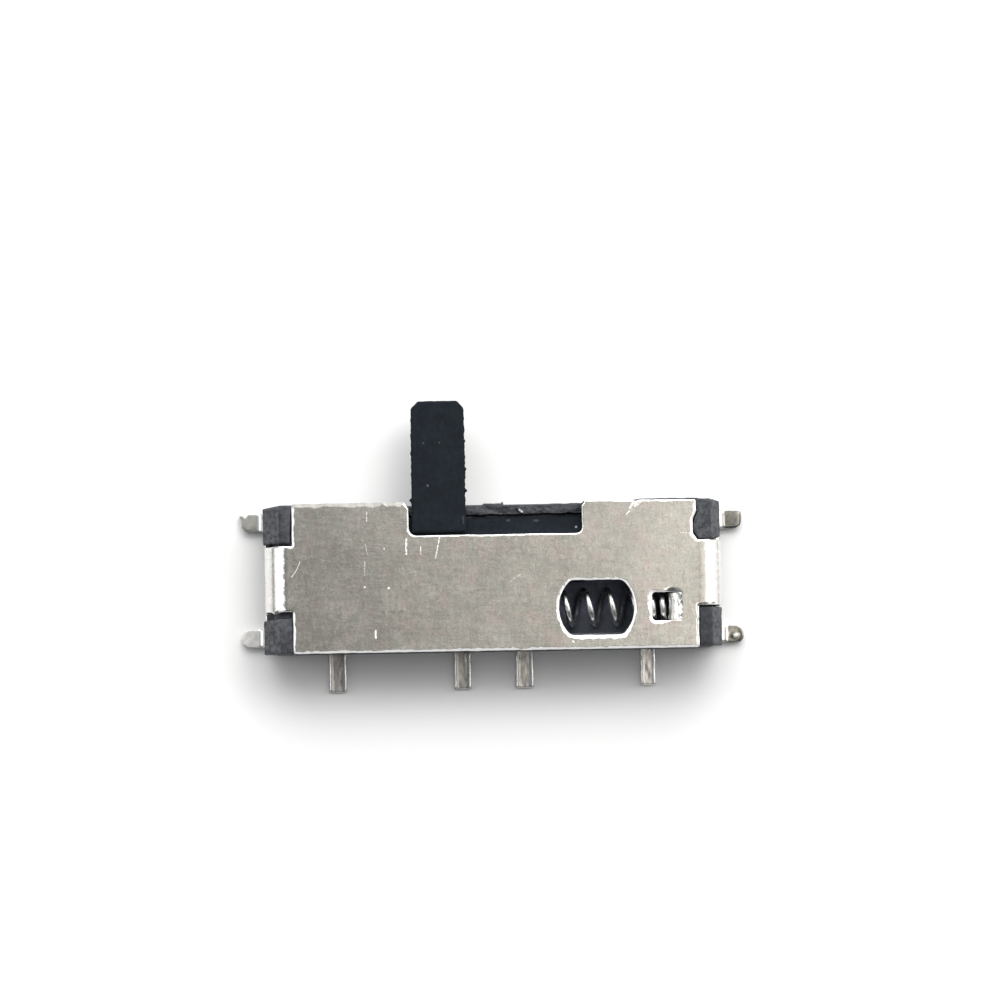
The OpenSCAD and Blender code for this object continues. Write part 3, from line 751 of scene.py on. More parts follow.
def base():
    r = 0.42
    sx = WALL_X - r
    prof = [(-WALL_X, 0), (WALL_X, 0)] + arc(sx, UNDER - r, r, 0, 90, 12) + arc(-sx, UNDER - r, r, 90, 180, 12)
    main = prism("main", prof, "y", -HY, HY, 0.025, 2,
                 only=lambda e: (abs(e.verts[0].co.y - e.verts[1].co.y) < 1e-6 and abs(abs(e.verts[0].co.y) - HY) < 1e-6) or (e.verts[0].co.z < 1e-6 and e.verts[1].co.z < 1e-6))
    combine(main, [block("cav", (CAV[0][0], CAV[0][1], FLOOR), (CAV[1][0], CAV[1][1], 2.5)),
                   block("open", (SLOT_X0 - 0.05, 1.30, 0.60), (SLOT_X1 + 0.05, 2.0, 2.5))], "DIFFERENCE")
    z = TOP - 0.04

    def tl(c):
        # its front face runs back towards the outside, and its inner corner is cut off
        c = c.copy()
        out = smooth_step(-c.x, 5.05, HX)
        if c.y > 1.5:
            c.y -= 0.055 * out
        if c.y < 1.1 and c.x > -4.95 and c.z > 0.9:
            c.x -= 0.035
        return c

    def tr(c):
        c = c.copy()
        if c.y > 1.5:
            c.y -= 0.050 * smooth_step(c.x, 5.12, HX)
            if c.x < 5.0:
                c.y += 0.004
        if c.y < 1.1 and c.x > 5.25:
            c.y += 0.05
        return c

    def bl(c):
        c = c.copy()
        if c.y > -1.2:
            c.y -= 0.030 * smooth_step(-c.x, 5.05, HX)
        return c

    posts = [
        post("p1", -1, 4.80, HX - 0.37, POST_Y + 0.045, HY + 0.003, z, outer=HX + 0.025, shape=tl),
        post("p2", -1, 4.80, HX - 0.36, -HY - 0.021, -POST_Y - 0.145, z, outer=HX + 0.028, shape=bl),
        post("p3", -1, 4.82, HX - 0.37, -HY + 0.2, -POST_Y - 0.01, 1.22, outer=HX - 0.03, bevel=0.02),
        post("p4", 1, 4.87, HX - 0.27, POST_Y, HY + 0.003, z, outer=HX - 0.035, shape=tr),
        post("p5", 1, 4.87, HX - 0.29, -HY + 0.017, -POST_Y - 0.03, z, outer=HX - 0.03),
        prism("lip", [(4.93, POST_Y + 0.01), (4.89, POST_Y + 0.02), (4.785, POST_Y + 0.135), (4.762, POST_Y + 0.24), (4.762, POST_Y + 0.34), (4.785, POST_Y + 0.47), (4.845, POST_Y + 0.58), (4.838, POST_Y + 0.68), (4.852, POST_Y + 0.74), (4.84, POST_Y + 0.82), (4.842, HY - 0.01), (4.93, HY - 0.01)], "z", UNDER + 0.005, z - 0.004, 0.02, 2),
        block("tb1", (TONGUE_X + T + 0.02, CAV[0][1] - 0.1, FLOOR - 0.1), (CAV[1][0] + 0.1, -0.20, 1.3)),
        block("tb2", (TONGUE_X + 0.44, CAV[0][1] - 0.1, FLOOR - 0.1), (CAV[1][0] + 0.09, -0.21, UNDER - 0.06)),
        flash_strip(),
        block("skin", (-4.74, -HY - 0.018, 0.06), (4.86, -HY + 0.1, UNDER - 0.02), 0.008, 1),
        horn(SLOT_X0, -1), horn(SLOT_X1, 1),
    ]
    combine(main, posts, "UNION")
    combine(main, [block("cav2", (4.5, -0.19, FLOOR + 0.001), (CAV[1][0], CAV[1][1] - 0.001, UNDER - 0.001))], "DIFFERENCE")
    combine(main, [rough_sill(), sliver()], "UNION")
    cuts = []
    c = 0.006
    for i, x in enumerate((-3.75, -0.75, 0.75, 3.75)):
        y1 = 0.73 if i == 0 else 0.03
        cuts.append(block(f"c{i}", (x - 0.21 - c, -2.0, -0.2), (x + 0.21 + c, y1 - 0.2, 0.15 + c)))
    for k, (xa, xb, y) in enumerate(((-3.96, 2.5, 0.95), (-0.96, -0.25, 0.25), (0.40, 1.10, 0.25), (1.75, 3.96, 0.25))):
        cuts.append(block(f"d{k}", (xa - c, y - 0.21 - c, 0.35 - c), (xb + c, y + 0.21 + c, 0.7)))
    combine(main, cuts, "DIFFERENCE")
    return settle(roughen_posts(main), "base", 32)


# ================================================================ slider and lever

def lever_outline():
    """Plan of the lever, with the draft of its sides and the flash along them."""
    L, R, Y0, Y1, c = LEVER_L, LEVER_R, 1.05, LEVER_Y, 0.17
    pts = rounded([(L - 0.005, Y0, 0.02), (R + 0.012, Y0, 0.02), (R + 0.002, Y1 - c - 0.02, 0.12), (R - c + 0.01, Y1 - 0.003, 0.08), (L + c + 0.015, Y1 - 0.006, 0.07), (L + 0.012, Y1 - c - 0.01, 0.10)], 0.02)
    bumps = [(1, 2.04, 0.055, 0.030), (1, 1.93, -0.015, 0.04), (1, 2.55, 0.036, 0.030), (1, 3.22, 0.018, 0.035), (1, 2.35, 0.012, 0.05), (1, 2.86, 0.010, 0.03), (-1, 1.82, 0.050, 0.035), (-1, 1.70, 0.015, 0.03),
             (-1, 2.95, 0.016, 0.05), (-1, 2.45, 0.014, 0.05), (-1, 3.35, 0.012, 0.05), (1, 3.48, 0.014, 0.05), (-1, 2.12, -0.010, 0.05), (-1, 3.72, 0.010, 0.04)]
    m = inward(pts)
    out = []
    for (x, y), (mx, my) in zip(pts, m):
        side = 1 if x > (L + R) / 2 else -1
        d = 0.006 * noise.noise(Vector((x * 3, y * 5, side * 3.3))) + 0.013 * noise.noise(Vector((x * 9, y * 14, side * 1.3))) + 0.010 * noise.noise(Vector((x * 20, y * 36, side * 2.3)))
        if y > 3.9:
            d *= 0.4
        if y < 1.5:
            d *= 0.3
        for s, yc, h, w in bumps:
            if s == side and abs(x - (L + R) / 2) > 0.5:
                d += h * math.exp(-((y - yc) / w) ** 2)
        out.append((x - mx * d, y - my * d))
    return out


def slider():
    # lever: rounded above and below, with a parting line of flash round its sides
    t = LEVER_Z1 - LEVER_Z0
    grid = grid_of(LEVER_L, LEVER_R, 1.05, LEVER_Y, 0.12, 0.12, 0.01)

    def fold(x, y, n):
        z = LEVER_Z1 + n
        if n > -0.01:
            z += 0.004 * noise.noise(Vector((x * 1.1, y * 0.9, 6.1))) - 0.004
        if n < -0.5 * t and y > 1.45:
            # the sides are ragged at the top edge only, and smooth below it
            u = (y - 1.05) / (LEVER_Y - 1.05)
            x = max(LEVER_L + 0.010 + 0.017 * u, min(LEVER_R - 0.004 - 0.010 * u, x))
        return (x, y, z)

    v, f, _ = cut_plate(lever_outline(), [], t, (0.055, 0.045), (0.04, 0.04), grid, fold)
    me = bpy.data.meshes.new("lever")
    me.from_pydata(v, [], f)
    me.validate()
    lever = bpy.data.objects.new("lever", me)
    bpy.context.scene.collection.objects.link(lever)
    seal(lever)
    body = block("bar", (-4.65, -0.15, 0.65), (2.15, 1.42, 1.57), 0.025, 2)
    parts = [
        block("skid", (-4.63, 1.22, 0.52), (2.13, 1.419, 0.9), 0.02, 2),
        block("rear", (-4.649, -1.36, 0.52), (-0.6, 0.0, 1.569), 0.02, 2),
        lever,
    ]
    combine(body, parts, "UNION")
    # the bar's front edge is chewed along the lever's opening
    chewed = []
    for i in range(181):
        x = -0.50 + (2.14 + 0.50) * i / 180
        chewed.append((x, 1.368 + 0.060 * noise.noise(Vector((x * 4.5, 0.6, 3.1))) + 0.044 * noise.noise(Vector((x * 11, 0.6, 5.1))) + 0.010 * noise.noise(Vector((x * 24, 0.6, 8.1)))))
    bite = prism("bite", [(-0.50, 1.50)] + chewed + [(2.14, 1.50)], "z", 0.95, 1.75)
    combine(body, [block("pocket", (-3.7, 0.0, 0.3), (-0.25, 1.20, 0.80)), bite], "DIFFERENCE")
    nose = []
    bm = bmesh.new()
    bmesh.ops.create_cone(bm, cap_ends=True, segments=40, radius1=0.25, radius2=0.25, depth=0.7)
    bmesh.ops.bevel(bm, geom=[e for e in bm.edges if abs(e.verts[0].co.z - e.verts[1].co.z) < 1e-6 and e.verts[0].co.z > 0], offset=0.05, segments=3, profile=0.5, affect="EDGES")
    bmesh.ops.transform(bm, matrix=Matrix.Translation((-0.7 + 0.35, SPRING_Y, SPRING_Z)) @ Matrix.Rotation(math.pi / 2, 4, "Y"), verts=bm.verts)
    nose.append(bm_object(bm, "nose"))
    for y in (0.38, 0.82):
        bm = bmesh.new()
        bmesh.ops.create_cone(bm, cap_ends=True, segments=24, radius1=0.115, radius2=0.115, depth=0.25)
        bmesh.ops.transform(bm, matrix=Matrix.Translation((-3.3, y, 0.67 + 0.125)), verts=bm.verts)
        nose.append(bm_object(bm, "stud"))
    combine(body, nose, "UNION")
    return settle(body, "slider", 32)


# ================================================================ spring

def spring():
    wire, od = 0.15, 1.0
    x0, x1 = -0.59, 4.13
    coil = (od - wire) / 2
    closed, pitch, tight, open_end, turns = 1.12 * wire, 0.543, 0.24, 8.38, 10.03
    phase = math.radians(147)

    def rise(t):
        if t < 1:
            return closed * t
        if t < open_end:
            return closed + pitch * (t - 1)
        return closed + pitch * (open_end - 1) + tight * (t - open_end)

    def eased(t):
        w = 0.12
        return (rise(t - w) + 2 * rise(t) + rise(t + w)) / 4 if w < t < turns - w else rise(t)

    per, sides = 56, 14
    n = int(turns * per)
    P = []
    for i in range(n + 1):
        t = turns * i / n
        a = phase + 2 * math.pi * t
        P.append(Vector((x0 + wire / 2 + eased(t), SPRING_Y + coil * math.cos(a), SPRING_Z + coil * math.sin(a))))
    verts, faces = [], []
    for i, p in enumerate(P):
        tan = (P[min(i + 1, n)] - P[max(i - 1, 0)]).normalized()
        a = phase + 2 * math.pi * turns * i / n
        out = Vector((0, math.cos(a), math.sin(a)))
        out = (out - tan * out.dot(tan)).normalized()
        side = tan.cross(out)
        k = 1.0 if 0 < i < n else 0.86
        for j in range(sides):
            b = 2 * math.pi * j / sides
            verts.append(p + (out * math.cos(b) + side * math.sin(b)) * wire / 2 * k)
    for i in range(n):
        for j in range(sides):
            k = (j + 1) % sides
            faces.append((i * sides + j, i * sides + k, (i + 1) * sides + k, (i + 1) * sides + j))
    faces.append(tuple(range(sides))[::-1])
    faces.append(tuple(n * sides + j for j in range(sides)))
    ob = new_object("coil_spring", verts, faces, sharp=60)
    bm = bmesh.new()
    bm.from_mesh(ob.data)
    bmesh.ops.recalc_face_normals(bm, faces=bm.faces)
    bm.to_mesh(ob.data)
    bm.free()
    return ob


# ================================================================ terminals

PINS = ((-3.955, -3.530, -2.687), (-0.947, -0.535, -2.664), (0.535, 0.968, -2.660), (3.543, 3.908, -2.641))     # left and right edge and tip


def terminal(i):
    x = (-3.75, -0.75, 0.75, 3.75)[i]
    row = 0.95 if i == 0 else 0.25
    pad = ((-3.96, 2.5), (-0.96, -0.25), (0.40, 1.10), (1.75, 3.96))[i]
    w = 0.21
    a, b = x - w, x + w
    y0, y1 = row - 0.2, row + 0.2
    pa, pb, tip = PINS[i]
    r = 0.03
    # the strip stands out of the wall at its own width and place, and widens to its seat inside
    pts = [(pa, tip, 0.05), (pb, tip, 0.05), (pb, -1.80, 0), (b, -1.70, 0)]
    if pad[1] > b + 0.05:
        pts += [(b, y0, 0.05), (pad[1], y0, r), (pad[1], y1, r)]
    else:
        pts += [(b, y1, r)]
    if pad[0] < a - 0.05:
        pts += [(pad[0], y1, r), (pad[0], y0, r), (a, y0, 0.05)]
    else:
        pts += [(a, y1, r)]
    pts += [(a, -1.70, 0), (pa, -1.80, 0)]
    outer = rounded(pts, 0.04)
    s0, s1 = y0 - 0.02 - 0.20, y0 - 0.02
    mid = (pa + pb) / 2
    half = (pb - pa) / 2

    def fold(px, py, n):
        u = max(0.0, min(1.0, (py - s0) / (s1 - s0)))
        u = u * u * (3 - 2 * u)
        z = 0.15 + n + 0.35 * u
        if n > -0.075 and py < -1.6:
            # shallow rolled channel down the middle of the strip's upper face
            q = (px - mid) / half
            z -= 0.009 * (1 - smooth_step(abs(q), 0.50, 0.66)) + 0.003
            z += 0.003 * noise.noise(Vector((px * 9, py * 5, 1.0 + i))) + 0.003 * noise.noise(Vector((px * 26, py * 4, 3.0 + i)))
        return (px, py, z)

    grid = [(mid + half * q, tip + 0.07 + 0.86 * j / 44) for q in (-0.68, -0.62, -0.56, -0.50, -0.44, -0.3, -0.15, 0.0, 0.15, 0.3, 0.44, 0.50, 0.56, 0.62, 0.68) for j in range(45)]
    grid += grid_of(a, b, -1.65, y0, 0.1, 0.1, 0.0) + grid_of(pad[0], pad[1], y0, y1, 0.1, 0.1, 0.0)
    # the outer part of the strip gets a painted highlight along its rolled edges
    v, f, painted_highlight = cut_plate(outer, [], 0.15, (0.055, 0.100), (0.01, 0.01), grid, fold, rough=lambda l: wobble(l, 0.008, 7.0, 5.0 + i),
                          edge_width=lambda x, y: (0.92, 0.8, 0.0, 1.0 if x > mid else 0.85) if tip + 0.06 < y < -1.5 else (0.8, 1.0, 0.0, 0.15))
    v = [(px, max(py, -2.6895), pz) for px, py, pz in v]
    return seal(mark_painted_highlight(new_object(f"pin_{i + 1}", v, f, sharp=50), painted_highlight))


# ================================================================ materials

class Nodes:
    """A short way to write a material's node tree."""

    def __init__(self, name):
        self.mat = bpy.data.materials.new(name)
        self.mat.use_nodes = True
        self.nt = self.mat.node_tree
        self.bsdf = self.nt.nodes["Principled BSDF"]
        self.out = self.nt.nodes["Material Output"]
        co = self.nt.nodes.new("ShaderNodeTexCoord")
        # Object coordinates are metres: this brings them to millimetres
        self.pos = self.vec("MULTIPLY", co.outputs["Object"], (1000, 1000, 1000))

    def put(self, socket, value):
        if hasattr(value, "is_output"):
            self.nt.links.new(value, socket)
        else:
            socket.default_value = value

    def math(self, op, a, b=None, c=None, clamp=False):
        n = self.nt.nodes.new("ShaderNodeMath")
        n.operation, n.use_clamp = op, clamp
        for i, v in enumerate((a, b, c)):
            if v is not None:
                self.put(n.inputs[i], v)
        return n.outputs[0]

    def vec(self, op, a, b=None, c=None, scale=None):
        n = self.nt.nodes.new("ShaderNodeVectorMath")
        n.operation = op
        for i, v in enumerate((a, b, c)):
            if v is not None:
                self.put(n.inputs[i], v)
        if scale is not None:
            self.put(n.inputs["Scale"], scale)
        return n.outputs["Value"] if op in ("LENGTH", "DOT_PRODUCT", "DISTANCE") else n.outputs[0]

    def noise(self, vector, scale, detail=3.0, rough=0.5, distort=0.0):
        n = self.nt.nodes.new("ShaderNodeTexNoise")
        self.put(n.inputs["Vector"], vector)
        n.inputs["Scale"].default_value = scale
        n.inputs["Detail"].default_value = detail
        n.inputs["Roughness"].default_value = rough
        n.inputs["Distortion"].default_value = distort
        return n.outputs["Fac"]

    def voronoi(self, vector, scale, feature="F1"):
        n = self.nt.nodes.new("ShaderNodeTexVoronoi")
        n.feature = feature
        self.put(n.inputs["Vector"], vector)
        n.inputs["Scale"].default_value = scale
        return n.outputs["Distance"]

    def ramp(self, fac, stops):
        n = self.nt.nodes.new("ShaderNodeValToRGB")
        self.put(n.inputs["Fac"], fac)
        els = n.color_ramp.elements
        while len(els) < len(stops):
            els.new(0.5)
        for e, (p, col) in zip(els, stops):
            e.position = p
            e.color = (col, col, col, 1) if isinstance(col, (int, float)) else (*col, 1)
        return n.outputs["Color"]

    def between(self, value, lo, hi, to0=0.0, to1=1.0, smooth=True):
        n = self.nt.nodes.new("ShaderNodeMapRange")
        n.interpolation_type = "SMOOTHSTEP" if smooth else "LINEAR"
        n.clamp = True
        self.put(n.inputs["Value"], value)
        for key, v in (("From Min", lo), ("From Max", hi), ("To Min", to0), ("To Max", to1)):
            n.inputs[key].default_value = v
        return n.outputs["Result"]

    def mix(self, fac, a, b):
        n = self.nt.nodes.new("ShaderNodeMix")
        n.data_type = "RGBA"
        self.put(n.inputs[0], fac)
        for s, v in ((n.inputs[6], a), (n.inputs[7], b)):
            if hasattr(v, "is_output"):
                self.nt.links.new(v, s)
            else:
                s.default_value = (*v, 1) if len(v) == 3 else v
        return n.outputs[2]

    def bump(self, height, strength, distance, normal=None):
        n = self.nt.nodes.new("ShaderNodeBump")
        n.inputs["Strength"].default_value = strength
        n.inputs["Distance"].default_value = distance
        self.put(n.inputs["Height"], height)
        if normal is not None:
            self.nt.links.new(normal, n.inputs["Normal"])
        return n.outputs["Normal"]

    def xyz(self, vector):
        n = self.nt.nodes.new("ShaderNodeSeparateXYZ")
        self.put(n.inputs[0], vector)
        return n.outputs

    def scaled(self, vector, s):
        return self.vec("MULTIPLY", vector, s)

    def line(self, a, b, width, wob=None):
        """1 on the line from a to b in plan, falling to 0 at width from it."""
        p = self.vec("MULTIPLY", self.pos if wob is None else wob, (1, 1, 0))
        a, b = Vector((*a, 0)), Vector((*b, 0))
        d = b - a
        rel = self.vec("SUBTRACT", p, tuple(a))
        t = self.math("DIVIDE", self.vec("DOT_PRODUCT", rel, tuple(d)), d.length_squared, clamp=True)
        n = self.nt.nodes.new("ShaderNodeVectorMath")
        n.operation = "SCALE"
        n.inputs[0].default_value = tuple(d)
        self.nt.links.new(t, n.inputs["Scale"])
        dist = self.vec("DISTANCE", rel, n.outputs[0])
        return self.between(dist, width * 0.35, width, 1.0, 0.0)

    def link(self, key, value):
        self.put(self.bsdf.inputs[key], value)


def add_up(M, masks):
    total = masks[0]
    for m in masks[1:]:
        total = M.math("MAXIMUM", total, m)
    return total


def nickel(name="nickel_sheet"):
    """Nickel on rolled sheet: satin, with faint rolling lines, blotches, small scratches and dots, painted highlights
    on its rolled edges and bends, a darker line along each bend and its own tone on each foot.
    """
    M = Nodes(name)
    x, y, z = M.xyz(M.pos)
    lines = M.noise(M.scaled(M.pos, (2.2, 9.0, 9.0)), 1.0, 4.0, 0.65)
    cross = M.noise(M.scaled(M.pos, (12.0, 3.0, 3.0)), 1.0, 3.0, 0.6)
    mottle = M.noise(M.pos, 4.6, 3.0, 0.6)
    blot = M.noise(M.pos, 0.9, 3.0, 0.5)
    fine = M.noise(M.pos, 17.0, 3.0, 0.65)
    grain = M.noise(M.pos, 40.0, 1.0, 0.5)
    tone = M.math("ADD", M.math("ADD", M.math("MULTIPLY", lines, 0.16), M.math("MULTIPLY", cross, 0.13)), M.math("ADD", M.math("MULTIPLY", mottle, 0.12), M.math("MULTIPLY", blot, 0.22)))
    tone = M.math("ADD", tone, M.math("ADD", M.math("MULTIPLY", fine, 0.15), M.math("MULTIPLY", grain, 0.22)))
    col = M.mix(M.between(tone, 0.40, 0.60), (0.692, 0.687, 0.664), (0.892, 0.886, 0.857))
    col = M.mix(M.between(M.noise(M.pos, 2.4, 3.0, 0.6), 0.50, 0.66, 0.0, 0.48), col, (0.87, 0.765, 0.765))
    col = M.mix(M.between(M.noise(M.vec("ADD", M.pos, (7.0, 3.0, 0.0)), 2.9, 3.0, 0.6), 0.50, 0.66, 0.0, 0.46), col, (0.735, 0.800, 0.735))
    dash = M.between(M.noise(M.scaled(M.pos, (5.0, 19.0, 1.0)), 1.0, 2.0, 0.5), 0.62, 0.69, 0.0, 0.33)
    col = M.mix(dash, col, (0.50, 0.497, 0.48))
    dash = M.between(M.noise(M.scaled(M.pos, (18.0, 5.5, 1.0)), 1.0, 2.0, 0.5), 0.63, 0.70, 0.0, 0.30)
    col = M.mix(dash, col, (0.56, 0.557, 0.54))
    pale = M.between(M.noise(M.scaled(M.pos, (13.0, 6.0, 1.0)), 1.0, 3.0, 0.6), 0.61, 0.70, 0.0, 0.55)
    col = M.mix(pale, col, (0.95, 0.945, 0.92))
    # the left half shows more of the rolling, as short streaks
    lined = M.between(x, -1.0, 2.0, 1.0, 0.40)
    streak = M.between(M.noise(M.scaled(M.pos, (6.0, 27.0, 1.0)), 1.0, 3.0, 0.6), 0.58, 0.67, 0.0, 0.36)
    col = M.mix(M.math("MULTIPLY", lined, streak), col, (0.49, 0.487, 0.47))
    streak = M.between(M.noise(M.scaled(M.vec("ADD", M.pos, (3.0, 5.0, 0.0)), (5.0, 25.0, 1.0)), 1.0, 3.0, 0.6), 0.58, 0.67, 0.0, 0.46)
    col = M.mix(M.math("MULTIPLY", lined, streak), col, (0.94, 0.935, 0.91))
    # painted highlight on the rolled edges, the bends, the tongue and the blister, from the mesh
    painted_highlight = M.nt.nodes.new("ShaderNodeAttribute")
    painted_highlight.attribute_name = "painted_highlight"
    painted_highlight = M.math("MULTIPLY", painted_highlight.outputs["Fac"], M.between(M.noise(M.pos, 13.0, 2.0, 0.6), 0.36, 0.48, 0.75, 1.0), clamp=True)
    # scratches and nicks of this one, in plan, each with its two ends and its width
    wob = M.vec("ADD", M.pos, M.scaled(M.vec("SUBTRACT", color_of(M.pos, M, 9.0), (0.5, 0.5, 0.5)), (0.03, 0.03, 0.0)))
    marks = [
        ((-2.068, 0.903), (-2.075, 0.547), 0.024, 1.0), ((-1.728, 0.731), (-1.731, 0.541), 0.016, 0.5), ((-1.273, 0.937), (-1.330, 0.70), 0.020, 0.7), ((-1.330, 0.70), (-1.377, 0.440), 0.016, 0.6),
        ((-3.061, 0.374), (-3.067, 0.066), 0.014, 0.32), ((-2.994, 1.560), (-2.997, 1.346), 0.016, 0.35), ((3.181, 1.409), (3.425, 1.690), 0.026, 0.75), ((3.270, 1.56), (3.50, 1.68), 0.040, 0.9),
        ((3.30, 1.60), (3.36, 1.73), 0.032, 0.9), ((-4.795, 0.048), (-4.650, 0.259), 0.014, 0.40), ((-4.650, 0.259), (-4.600, 0.400), 0.014, 0.35), ((-2.829, -1.242), (-2.832, -1.432), 0.024, 1.0),
        ((-3.072, -0.219), (-3.076, -0.225), 0.028, 0.8), ((-2.504, -0.252), (-2.508, -0.258), 0.030, 1.0), ((-2.594, 0.675), (-2.597, 0.68), 0.026, 0.5), ((-3.04, 0.80), (-3.00, 0.55), 0.012, 0.25),
        ((0.36, -0.16), (0.62, 0.02), 0.012, 0.35), ((1.85, -1.60), (1.852, -1.606), 0.034, 0.9), ((4.45, 0.95), (4.70, 0.94), 0.016, 0.3), ((3.96, 0.62), (4.05, 0.61), 0.016, 0.3),
    ]
    scratch = add_up(M, [M.math("MULTIPLY", M.line(a, b, w, wob), k) for a, b, w, k in marks])
    scratch = M.math("MULTIPLY", scratch, M.between(M.noise(M.pos, 16.0, 2.0), 0.36, 0.50))
    up = M.between(z, 1.74, 1.78)
    scratch = M.math("MULTIPLY", scratch, up)
    hair = M.noise(M.scaled(M.vec("ADD", M.pos, (0, 0, 0)), (11.0, 0.55, 1.0)), 5.0, 2.0, 0.4, 0.6)
    hair = M.between(hair, 0.66, 0.70, 0.0, 0.30)
    col = M.mix(hair, col, (0.88, 0.87, 0.85))
    dark = M.math("MULTIPLY", M.line((-2.680, -0.842), (-2.181, -0.803), 0.018, wob), M.between(M.noise(M.pos, 11.0, 1.0), 0.42, 0.6))
    col = M.mix(M.math("MULTIPLY", dark, 0.55), col, (0.30, 0.29, 0.28))
    # a darker mottled line along the middle of both end bends
    right_half = M.between(x, -0.5, 0.5)
    bend_line_l = M.math("MULTIPLY", M.between(x, -5.345, -5.290), M.between(x, -5.245, -5.200, 1.0, 0.0))
    bend_line_r = M.math("MULTIPLY", M.between(x, 5.305, 5.330), M.between(x, 5.350, 5.375, 1.0, 0.0))
    bend_line = M.math("MULTIPLY", M.math("MAXIMUM", bend_line_l, bend_line_r), M.between(M.noise(M.pos, 11.0, 3.0, 0.7), 0.38, 0.60, 0.05, 0.80))
    bend_line = M.math("MULTIPLY", bend_line, M.between(z, 1.2, 1.4))
    col = M.mix(bend_line, col, M.mix(right_half, (0.56, 0.56, 0.55), (0.42, 0.42, 0.41)))
    # the four feet, each in its own tone: the right front one lighter towards its front end, the right rear one darker
    # along its rear edge
    ax, low = M.math("ABSOLUTE", x), M.between(z, 0.45, 0.60, 1.0, 0.0)

    def foot(start, a, b):
        return M.math("MULTIPLY", M.math("MULTIPLY", M.between(ax, start, start + 0.05), low), M.math("MULTIPLY", a, b))

    left, front = M.between(x, -0.5, 0.5, 1.0, 0.0), M.between(y, -0.5, 0.5)
    right, rear = M.math("SUBTRACT", 1.0, left), M.math("SUBTRACT", 1.0, front)
    f_bl = foot(5.60, left, rear)
    f_tl = foot(5.59, left, front)
    f_tr = foot(5.61, right, front)
    f_br = foot(5.645, right, rear)
    patch = M.between(M.noise(M.pos, 7.0, 4.0, 0.65), 0.36, 0.62)
    col = M.mix(M.math("MULTIPLY", f_bl, 0.9), col, M.mix(patch, (0.50, 0.49, 0.47), (0.68, 0.67, 0.65)))
    col = M.mix(M.math("MULTIPLY", f_tl, 0.7), col, M.mix(patch, (0.29, 0.28, 0.26), (0.46, 0.45, 0.42)))
    col = M.mix(M.math("MULTIPLY", f_tr, 0.9), col, M.mix(patch, (0.13, 0.13, 0.125), (0.22, 0.218, 0.21)))
    col = M.mix(M.math("MULTIPLY", f_tr, M.between(y, 1.34, 1.46, 0.0, 0.8)), col, M.mix(patch, (0.23, 0.23, 0.22), (0.37, 0.367, 0.35)))
    col = M.mix(M.math("MULTIPLY", f_br, 0.8), col, M.mix(patch, (0.19, 0.187, 0.17), (0.38, 0.37, 0.34)))
    col = M.mix(M.math("MULTIPLY", f_br, M.between(y, -1.52, -1.43, 0.85, 0.0)), col, M.mix(patch, (0.07, 0.068, 0.06), (0.15, 0.147, 0.135)))
    col = M.mix(M.math("MULTIPLY", scratch, 0.9), col, (0.93, 0.92, 0.90))
    col = M.mix(painted_highlight, col, (0.95, 0.95, 0.93))
    M.link("Base Color", col)
    dull = M.math("ADD", M.math("ADD", M.math("MULTIPLY", f_bl, 0.80), M.math("MULTIPLY", f_tl, 0.25)), M.math("MAXIMUM", M.math("MULTIPLY", scratch, 0.75), M.math("MULTIPLY", painted_highlight, 0.92)), clamp=True)
    M.link("Metallic", M.math("SUBTRACT", 1.0, dull))
    M.link("Roughness", M.math("ADD", M.between(tone, 0.3, 0.7, 0.165, 0.215), M.math("MULTIPLY", dull, 0.22)))
    h = M.math("ADD", M.math("ADD", M.math("MULTIPLY", lines, 0.4), M.math("MULTIPLY", cross, 0.25)), M.math("ADD", M.math("MULTIPLY", fine, 0.4), M.math("MULTIPLY", mottle, 0.4)))
    h = M.math("SUBTRACT", h, M.math("MULTIPLY", scratch, 1.6))
    M.link("Normal", M.bump(h, 0.14, 0.00001))
    return M.mat


def color_of(vector, M, scale):
    n = M.nt.nodes.new("ShaderNodeTexNoise")
    M.put(n.inputs["Vector"], vector)
    n.inputs["Scale"].default_value = scale
    n.inputs["Detail"].default_value = 2.0
    return n.outputs["Color"]


def plastic(name, dark, pale, rough, grain=1.0, gloss=0.2, part=None):
    """Heat-resistant moulding: matt, with a fine grain, cloudy patches and pale specks of filler. part adds what one piece alone shows."""
    M = Nodes(name)
    cloud = M.noise(M.pos, 2.2, 4.0, 0.6)
    grit = M.noise(M.pos, 34.0, 4.0, 0.65)
    mid = M.noise(M.pos, 9.0, 3.0, 0.6)
    tone = M.math("ADD", M.math("ADD", M.math("MULTIPLY", cloud, 0.35), M.math("MULTIPLY", grit, 0.35)), M.math("MULTIPLY", mid, 0.30))
    col = M.mix(M.between(tone, 0.38, 0.64), dark, pale)
    speck = M.between(M.voronoi(M.pos, 7.0), 0.03, 0.07, 1.0, 0.0)
    speck = M.math("MULTIPLY", speck, M.between(M.noise(M.pos, 3.1, 1.0), 0.58, 0.66))
    col = M.mix(M.math("MULTIPLY", speck, 0.6), col, tuple(min(1.0, c * 5 + 0.05) for c in pale))
    if part:
        col = part(M, col, mid, grit)
    M.link("Base Color", col)
    M.link("Roughness", M.between(grit, 0.3, 0.7, rough - 0.06, rough + 0.08))
    M.bsdf.inputs["Specular IOR Level"].default_value = gloss
    M.link("Normal", M.bump(M.math("ADD", grit, M.math("MULTIPLY", cloud, 0.6)), 0.5 * grain, 0.00002))
    return M.mat


